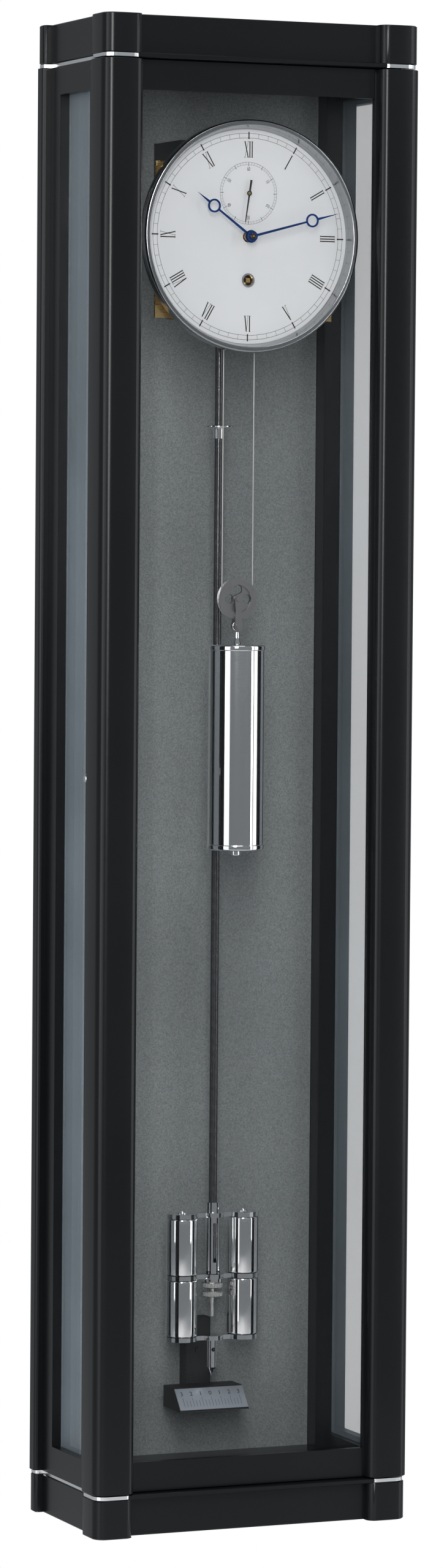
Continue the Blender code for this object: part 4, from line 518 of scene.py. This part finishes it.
# %% Bezel
bezel_low, bezel_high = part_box("bezel")
outer = (bezel_high.x - bezel_low.x) / 2
front, back = bezel_low.y, bezel_high.y
centre = (dial_centre.x, dial_centre.z)
profile = [
    (outer - 8.1 * MM, dial_front - 0.35 * MM), (outer - 7.4 * MM, dial_front - 1.5 * MM),
    (outer - 5.4 * MM, front + 1.6 * MM), (outer - 4.9 * MM, front + 0.2 * MM), (outer - 3.6 * MM, front),
    (outer - 1.2 * MM, front + 0.2 * MM), (outer, front + 1.8 * MM), (outer, back - 2 * MM),
    (outer - 0.5 * MM, back), (outer - 1.8 * MM, back), (outer - 1.8 * MM, dial_front - 0.35 * MM),
]
bezel = turned("bezel_polished", "Y", centre, rounded(profile, 1.2 * MM), 192, ring=True)
dress(bezel, "case", "polished_chrome", chrome_dial, "bezel")
print("bezel radius", round(outer, 4))

# %% [markdown]
# ## The dial's print
# Print is a layer of ink with no thickness to speak of, so each mark is a small flat face a few
# hundredths of a millimetre in front of the silver. Marks round the dial are made upright at
# twelve o'clock as lists of corners, and turned into place as whole arrays.

# %% Print helpers
INK_LIFT = 0.06 * MM


def print_piece(name, polygons, body, plane, material=ink, slot="dial_silver"):
    """Flat polygons given as (k, 2) corner arrays, put into 3-D by plane(u, v)."""
    points = np.concatenate(polygons)
    faces, start = [], 0
    for polygon in polygons:
        faces.append(list(range(start, start + len(polygon))))
        start += len(polygon)
    mesh = bpy.data.meshes.new(name)
    mesh.from_pydata(plane(points).tolist(), [], faces)
    piece = bpy.data.objects.new(name, mesh)
    bpy.context.scene.collection.objects.link(piece)
    return dress(piece, body, slot, material)


def on_dial(lift=INK_LIFT):
    def plane(uv):
        """(u, v) across and up the dial, measured from its centre."""
        y = np.full(len(uv), dial_front - lift)
        return np.column_stack([dial_centre.x + uv[:, 0], y, dial_centre.z + uv[:, 1]])
    return plane


def turned_marks(polygons, angle, about=(0, 0)):
    """Corners turned clockwise by the angle about (0, 0), then moved to a centre."""
    c, s = math.cos(angle), math.sin(angle)
    matrix = np.array([[c, -s], [s, c]])
    return [np.array(p) @ matrix + np.array(about) for p in polygons]


def bar(u0, u1, v0, v1):
    return np.array([(u0, v0), (u1, v0), (u1, v1), (u0, v1)])


def circle_line(radius, width, about=(0, 0), steps=120):
    """A thin ring as four-sided faces between two radii."""
    t = np.linspace(0, 2 * math.pi, steps + 1)
    ring = np.column_stack([np.cos(t), np.sin(t)])
    inner, outer_edge = ring * (radius - width / 2), ring * (radius + width / 2)
    quads = np.stack([inner[:-1], outer_edge[:-1], outer_edge[1:], inner[1:]], 1) + np.array(about)
    return list(quads)


# %% Minute track
marks = circle_line(89.9 * MM, 0.28 * MM) + circle_line(85.9 * MM, 0.28 * MM)
for minute in range(60):
    bold = minute % 5 == 0
    half = (0.55 if bold else 0.12) * MM
    tall = bar(-half, half, (84.9 if bold else 85.9) * MM, (91.2 if bold else 89.9) * MM)
    marks += turned_marks([tall], math.radians(6 * minute))
print_piece("minute_track", marks, "case", on_dial())
print("minute marks:", len(marks))

# %% [markdown]
# The hours are tall, narrow Roman numerals: thick uprights, one thick and one thin leg on each V
# and X, and hairline serifs. The three at the foot of the dial are turned to stand upright.

# %% Hour numerals
NUMERALS = ["XII", "I", "II", "III", "IIII", "V", "VI", "VII", "VIII", "IX", "X", "XI"]
ADVANCE = {"I": 2.15 * MM, "V": 4.0 * MM, "X": 4.2 * MM}
LOW, HIGH = 69.0 * MM, 82.8 * MM


def leg(x0, x1, width, low, high):
    """A slanted stroke from x0 at the foot to x1 at the head."""
    half = width / 2
    return np.array([(x0 - half, low), (x0 + half, low), (x1 + half, high), (x1 - half, high)])


def numeral(text):
    """The strokes of a numeral centred on 0, its foot at LOW and its head at HIGH."""
    thick, thin, serif = 0.95 * MM, 0.3 * MM, 0.28 * MM
    x = -sum(ADVANCE[c] for c in text) / 2
    strokes = []
    for letter in text:
        width = ADVANCE[letter]
        mid, reach = x + width / 2, width / 2 - 0.55 * MM
        if letter == "I":
            strokes.append(leg(mid, mid, thick, LOW, HIGH))
            feet = [(mid, LOW), (mid, HIGH)]
        elif letter == "V":
            strokes += [leg(mid, mid - reach, thick, LOW, HIGH), leg(mid, mid + reach, thin, LOW, HIGH)]
            feet = [(mid - reach, HIGH), (mid + reach, HIGH)]
        else:
            strokes += [leg(mid + reach, mid - reach, thick, LOW, HIGH),
                        leg(mid - reach, mid + reach, thin, LOW, HIGH)]
            feet = [(mid + s * reach, z) for s in (-1, 1) for z in (LOW, HIGH)]
        strokes += [bar(u - 0.95 * MM, u + 0.95 * MM, v - serif / 2, v + serif / 2) for u, v in feet]
        x += width
    return strokes


hours = []
for hour, text in enumerate(NUMERALS):
    strokes = numeral(text)
    if hour in (5, 6, 7):
        strokes = [np.column_stack([-s[:, 0], LOW + HIGH - s[:, 1]]) for s in strokes]
    hours += turned_marks(strokes, math.radians(30 * hour))
print_piece("hour_numerals", hours, "case", on_dial())
print("numeral strokes:", len(hours))

# %% [markdown]
# The small seconds ring has a mark for each second, longer at each fifth, and a number for each
# tenth. Numbers come from Blender's own plain typeface, are made narrow, and become flat meshes.

# %% Seconds ring
SECONDS_RISE = 37.8 * MM
SECONDS_OUTER = 27 * MM
SECONDS_INNER = 24.9 * MM
SECONDS_LONG = 23.6 * MM
about = (0, SECONDS_RISE)
marks = circle_line(SECONDS_OUTER, 0.2 * MM, about, 90) + circle_line(SECONDS_INNER, 0.16 * MM, about, 90)
for second in range(60):
    fifth = second % 5 == 0
    half = (0.2 if fifth else 0.08) * MM
    tick = bar(-half, half, SECONDS_LONG if fifth else SECONDS_INNER, SECONDS_OUTER)
    marks += turned_marks([tick], math.radians(6 * second), about)
print_piece("seconds_ring", marks, "case", on_dial(INK_LIFT + 0.01 * MM))


def number_polygons(text, height, squeeze=0.6):
    """The faces of a number as flat corner arrays, centred on 0."""
    curve = bpy.data.curves.new("number", "FONT")
    curve.body = text
    curve.align_x = "CENTER"
    curve.align_y = "CENTER"
    curve.resolution_u = 3
    holder = bpy.data.objects.new("number", curve)
    bpy.context.scene.collection.objects.link(holder)
    bpy.context.view_layer.update()
    mesh = bpy.data.meshes.new_from_object(holder.evaluated_get(bpy.context.evaluated_depsgraph_get()))
    points = np.zeros(len(mesh.vertices) * 3)
    mesh.vertices.foreach_get("co", points)
    points = points.reshape(-1, 3)[:, :2]
    points = (points - (points.min(0) + points.max(0)) / 2) / np.ptp(points[:, 1]) * height
    points[:, 0] *= squeeze
    polygons = [points[list(face.vertices)] for face in mesh.polygons]
    bpy.data.objects.remove(holder)
    bpy.data.meshes.remove(mesh)
    return polygons


numbers = []
for tens in range(1, 7):
    angle = math.radians(60 * tens)
    flip = math.pi if tens in (2, 3, 4) else 0
    upright = turned_marks(number_polygons(str(10 * tens), 3.5 * MM), flip, (0, 21.2 * MM))
    numbers += turned_marks(upright, angle, about)
print_piece("seconds_numbers", numbers, "case", on_dial(INK_LIFT + 0.01 * MM))
print("number faces:", len(numbers))

# %% [markdown]
# ## The driving weight
# A polished tube between two turned caps, with a fine step where they meet. The caps' edges are
# rounded so that each one draws a bright line, which is what makes polished metal read as metal.

# %% Driving weight
low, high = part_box("weight_body")
axis = (middle("weight_body").x, middle("weight_body").y)
cap = span("weight_body").x / 2
body_r = cap - 0.6 * MM
foot, top = low.z + 5 * MM, low.z + 5 * MM + 180.8 * MM
profile = [(0.3 * MM, low.z), (4.9 * MM, low.z), (5.3 * MM, low.z + 0.5 * MM), (5.3 * MM, foot),
           (cap - 1.2 * MM, foot),
           (cap, foot + 1 * MM), (cap, foot + 4.5 * MM), (body_r, foot + 4.9 * MM), (body_r, foot + 5.4 * MM),
           (body_r, top - 5.4 * MM), (body_r, top - 4.9 * MM), (cap, top - 4.5 * MM), (cap, top - 1 * MM),
           (cap - 1.2 * MM, top), (5.4 * MM, top), (4.6 * MM, top + 1.5 * MM), (2.6 * MM, top + 6 * MM),
           (2.2 * MM, top + 11.4 * MM), (0.3 * MM, top + 11.4 * MM)]
weight = turned("weight_polished", "Z", axis, rounded(profile, 0.5 * MM, 4), 128)
dress(weight, "weight", "polished_chrome", chrome, "weight_body")
tie_z = high.z - 5 * MM
ring_profile = [(3.9 * MM + 1.0 * MM * math.cos(t), axis[1] + 1.4 * MM * math.sin(t))
                for t in np.linspace(0, 2 * math.pi, 16, endpoint=False)]
eye = turned("weight_eye", "Y", (axis[0], tie_z), ring_profile, 48, ring=True)
dress(eye, "weight", "polished_chrome", satin_steel)
print("weight length", round(top - foot, 4))

# %% [markdown]
# ## The bob
# Each side of the bob is a pair of polished cylinders with a waist at the middle link, and a slim
# turned cap on each end with a small screw head. The nuts under the middle link are knurled: their
# radius rises and falls in many small waves round the rim.

# %% Bob cylinders and nuts
for side_name in ("left", "right"):
    node = f"bob_cylinder_{side_name}"
    low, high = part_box(node)
    axis = (middle(node).x, middle(node).y)
    r = span(node).x / 2
    mid = (low.z + high.z) / 2
    half = [(4 * MM, mid + 0.01 * MM), (4 * MM, mid + 2.3 * MM), (r - 0.8 * MM, mid + 2.4 * MM),
            (r, mid + 3.1 * MM),
            (r, high.z - 0.8 * MM), (r - 0.8 * MM, high.z), (0.3 * MM, high.z)]
    profile = [(a, 2 * mid - z) for a, z in reversed(half)] + half
    cylinder = turned(node + "_polished", "Z", axis, rounded(profile, 0.4 * MM, 4), 96)
    dress(cylinder, "pendulum", "polished_chrome", chrome, node)
    link_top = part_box("bob_link_bottom")[1].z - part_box("bob_link_bottom")[0].z
    cap_z = high.z + 0.3 * MM + link_top
    head = [(0.3 * MM, cap_z - 0.2 * MM), (4.2 * MM, cap_z - 0.2 * MM), (4.2 * MM, cap_z + 0.8 * MM),
            (3.7 * MM, cap_z + 1.3 * MM), (1.9 * MM, cap_z + 1.4 * MM), (1.7 * MM, cap_z + 0.5 * MM),
            (0.3 * MM, cap_z + 0.5 * MM)]
    screw = turned(f"bob_screw_{side_name}", "Z", axis, head, 36)
    dress(screw, "pendulum", "polished_chrome", chrome)


def knurl(profile, t):
    """Waves of a fifth of a millimetre round the rim, and none near the bore."""
    rim = np.clip((profile[:, :1] - 8 * MM) / MM, 0, 1)
    return rim * 0.22 * MM * np.abs(np.sin(30 * t)) * -1


for name in ("rating_nut", "lock_nut"):
    low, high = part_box(name)
    axis = (middle(name).x, middle(name).y)
    r = span(name).x / 2
    profile = [(2 * MM, low.z), (r - 1.3 * MM, low.z), (r, low.z + 0.9 * MM), (r, high.z - 0.9 * MM),
               (r - 1.3 * MM, high.z), (2 * MM, high.z)]
    nut = turned(name + "_knurled", "Z", axis, profile, 240, ring=True, ripple=knurl)
    dress(nut, "pendulum", "polished_chrome", satin_steel, name)
print("bob made")

# %% [markdown]
# ## Rod and tray
# The rod and the little tray for trimming weights are plain turned pieces with finer steps.

# %% Rod and tray
low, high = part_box("pendulum_rod")
axis = (middle("pendulum_rod").x, middle("pendulum_rod").y)
r = span("pendulum_rod").x / 2
rod = turned("rod_wound", "Z", axis, [(0.3 * MM, low.z), (r, low.z), (r, high.z), (0.3 * MM, high.z)], 64)
dress(rod, "pendulum", "carbon", carbon, "pendulum_rod")
low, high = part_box("weight_tray")
r = span("weight_tray").x / 2
profile = [(4.1 * MM, low.z), (4.75 * MM, low.z), (4.75 * MM, high.z - 2.4 * MM),
           (r - 0.6 * MM, high.z - 1.9 * MM),
           (r, high.z - 1.4 * MM), (r, high.z - 0.4 * MM), (r - 0.6 * MM, high.z), (4.1 * MM, high.z)]
tray = turned("tray_polished", "Z", axis, rounded(profile, 0.4 * MM, 4), 96, ring=True)
dress(tray, "pendulum", "polished_chrome", chrome, "weight_tray")

# %% [markdown]
# ## Line on the drum
# The driving line goes round the drum in close turns. A round line carried along a helix is a grid
# of small circles: one parameter goes round the line, the other along it.

# %% Line turns
drum_low, drum_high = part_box("winding_drum")
drum_z = (drum_low.z + drum_high.z) / 2
line_y = middle("line_bight").y
TURNS = 6
COIL_RADIUS = 14.45 * MM
PITCH = 1.3 * MM
LINE_RADIUS = 0.55 * MM
t = np.linspace(0, 2 * math.pi * TURNS, TURNS * 40)
helix = np.stack([COIL_RADIUS * np.cos(t), line_y + PITCH * t / (2 * math.pi) - 2 * MM,
                  drum_z + COIL_RADIUS * np.sin(t)], -1)
outwards = np.stack([np.cos(t), 0 * t, np.sin(t)], -1)
phase = np.linspace(0, 2 * math.pi, 8, endpoint=False)
tube = (helix[:, None] + LINE_RADIUS * (np.cos(phase)[None, :, None] * outwards[:, None]
                                        + np.sin(phase)[None, :, None] * np.array([0, 1, 0])))
coil = grid_piece("line_turns", tube, caps=True)
dress(coil, "drum", "line_steel", line_metal)
print("line turns made")

# %% [markdown]
# Two straight strands hang from the movement to the pulley. Each is made as a tube with many rings
# in place of the measured line, and is left in place without being attached to either body.

# %% Line strands
STRAND_RINGS = 40
for name in ("line_drum_side", "line_fixed_side"):
    low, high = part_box(name)
    place = middle(name)
    r = span(name).x / 2
    rings = [(r, z) for z in np.linspace(low.z, high.z, STRAND_RINGS)]
    strand = turned(name + "_strand", "Z", (place.x, place.y), [(r / 4, low.z), *rings, (r / 4, high.z)], 10)
    strand.data.materials.append(line_metal)
    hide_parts(name)
    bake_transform(strand)
    print(name, "length", round(high.z - low.z, 4))

# %% [markdown]
# ## Beat scale print
# The scale lies on a slope, so its marks are laid out flat and then carried onto the slope by two
# directions: across, and up the slope.

# %% Beat scale print
low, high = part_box("scale_plate")
up_slope = Vector((0, high.y - low.y, high.z - low.z))
up_slope.normalize()
out_slope = Vector((0, -up_slope.z, up_slope.y))
# The plate's box holds its own thickness, which is taken off along the slope's outward direction.
face_mid = (low + high) / 2 + out_slope * 0.45 * MM


def on_scale(uv):
    """Across the scale and up its slope, measured from the middle of its face."""
    across = np.outer(uv[:, 0], (1, 0, 0))
    return np.array(face_mid) + across + np.outer(uv[:, 1], up_slope)


marks = []
for step in range(-9, 10):
    long = step % 3 == 0
    u = step * 3.05 * MM
    marks.append(bar(u - 0.13 * MM, u + 0.13 * MM, -8 * MM, (1.5 if long else -1.5) * MM))
for value in range(-3, 4):
    shapes = number_polygons(str(abs(value)), 4.2 * MM, 0.95)
    marks += [p + np.array((value * 9.15 * MM, 5.6 * MM)) for p in shapes]
print_piece("beat_scale_print", marks, "case", on_scale)
print("scale marks:", len(marks))

# %% [markdown]
# ## Light, floor and surroundings
# The clock is lit as in a small studio: a broad soft light from the front left, a weaker one from
# the right, and one above. The surroundings look white to the camera, but light the clock much less,
# so that the black lacquer stays black.

# %% World
bpy.context.scene.view_settings.view_transform = "Standard"
world = bpy.data.worlds.new("studio")
bpy.context.scene.world = world
world.use_nodes = True
tree = world.node_tree
seen = tree.nodes["Background"]
seen.inputs["Color"].default_value = (1, 1, 1, 1)
seen.inputs["Strength"].default_value = 1.0
felt = tree.nodes.new("ShaderNodeBackground")
felt.inputs["Color"].default_value = (0.9, 0.95, 1, 1)
felt.inputs["Strength"].default_value = 0.34
ray = tree.nodes.new("ShaderNodeLightPath")
either = tree.nodes.new("ShaderNodeMixShader")
tree.links.new(ray.outputs["Is Camera Ray"], either.inputs[0])
tree.links.new(felt.outputs[0], either.inputs[1])
tree.links.new(seen.outputs[0], either.inputs[2])
tree.links.new(either.outputs[0], tree.nodes["World Output"].inputs["Surface"])


def soft_light(name, place, aim, size, power):
    lamp = bpy.data.lights.new(name, "AREA")
    lamp.shape = "RECTANGLE"
    lamp.size, lamp.size_y = size
    lamp.energy = power
    holder = bpy.data.objects.new(name, lamp)
    holder.location = place
    holder.rotation_euler = (Vector(aim) - Vector(place)).to_track_quat("-Z", "Y").to_euler()
    bpy.context.scene.collection.objects.link(holder)


soft_light("key", (-1.3, -3.2, 0.7), (0, 0, -0.6), (0.8, 2.4), 90)
soft_light("left", (-3.0, -0.9, 0.0), (0, 0, -0.6), (0.7, 2.8), 18)
soft_light("right", (2.2, -2.2, 0.0), (0, 0, -0.6), (0.5, 2.8), 18)
soft_light("left_front", (-2.7, -1.7, -0.4), (0, 0, -0.8), (1.2, 2.8), 16)
soft_light("right_front", (2.4, -1.2, -0.4), (0, 0, -0.8), (1.0, 2.8), 14)
soft_light("above", (0.0, -0.9, 2.4), (0, 0, 0), (1.6, 1.0), 20)

# %% Floor
mesh = bpy.data.meshes.new("floor")
level, reach = cad_box[0].z - 0.6, 40
corners = [(-reach, -reach, level), (reach, -reach, level), (reach, reach, level), (-reach, reach, level)]
mesh.from_pydata(corners, [], [(0, 1, 2, 3)])
floor = bpy.data.objects.new("floor", mesh)
bpy.context.scene.collection.objects.link(floor)
paint = bpy.data.materials.new("pale_floor")
paint.use_nodes = True
shader = paint.node_tree.nodes["Principled BSDF"]
shader.inputs["Base Color"].default_value = (0.85, 0.85, 0.85, 1)
shader.inputs["Roughness"].default_value = 0.9
glow = paint.node_tree.nodes.new("ShaderNodeEmission")
glow.inputs["Strength"].default_value = 1.0
ray = paint.node_tree.nodes.new("ShaderNodeLightPath")
either = paint.node_tree.nodes.new("ShaderNodeMixShader")
paint.node_tree.links.new(ray.outputs["Is Camera Ray"], either.inputs[0])
paint.node_tree.links.new(shader.outputs[0], either.inputs[1])
paint.node_tree.links.new(glow.outputs[0], either.inputs[2])
paint.node_tree.links.new(either.outputs[0], paint.node_tree.nodes["Material Output"].inputs["Surface"])
mesh.materials.append(paint)

# %% [markdown]
# Last, the size of the measured clock's box is printed.

# %% The measured box
print("measured", [round(v, 4) for v in cad_box[1] - cad_box[0]])
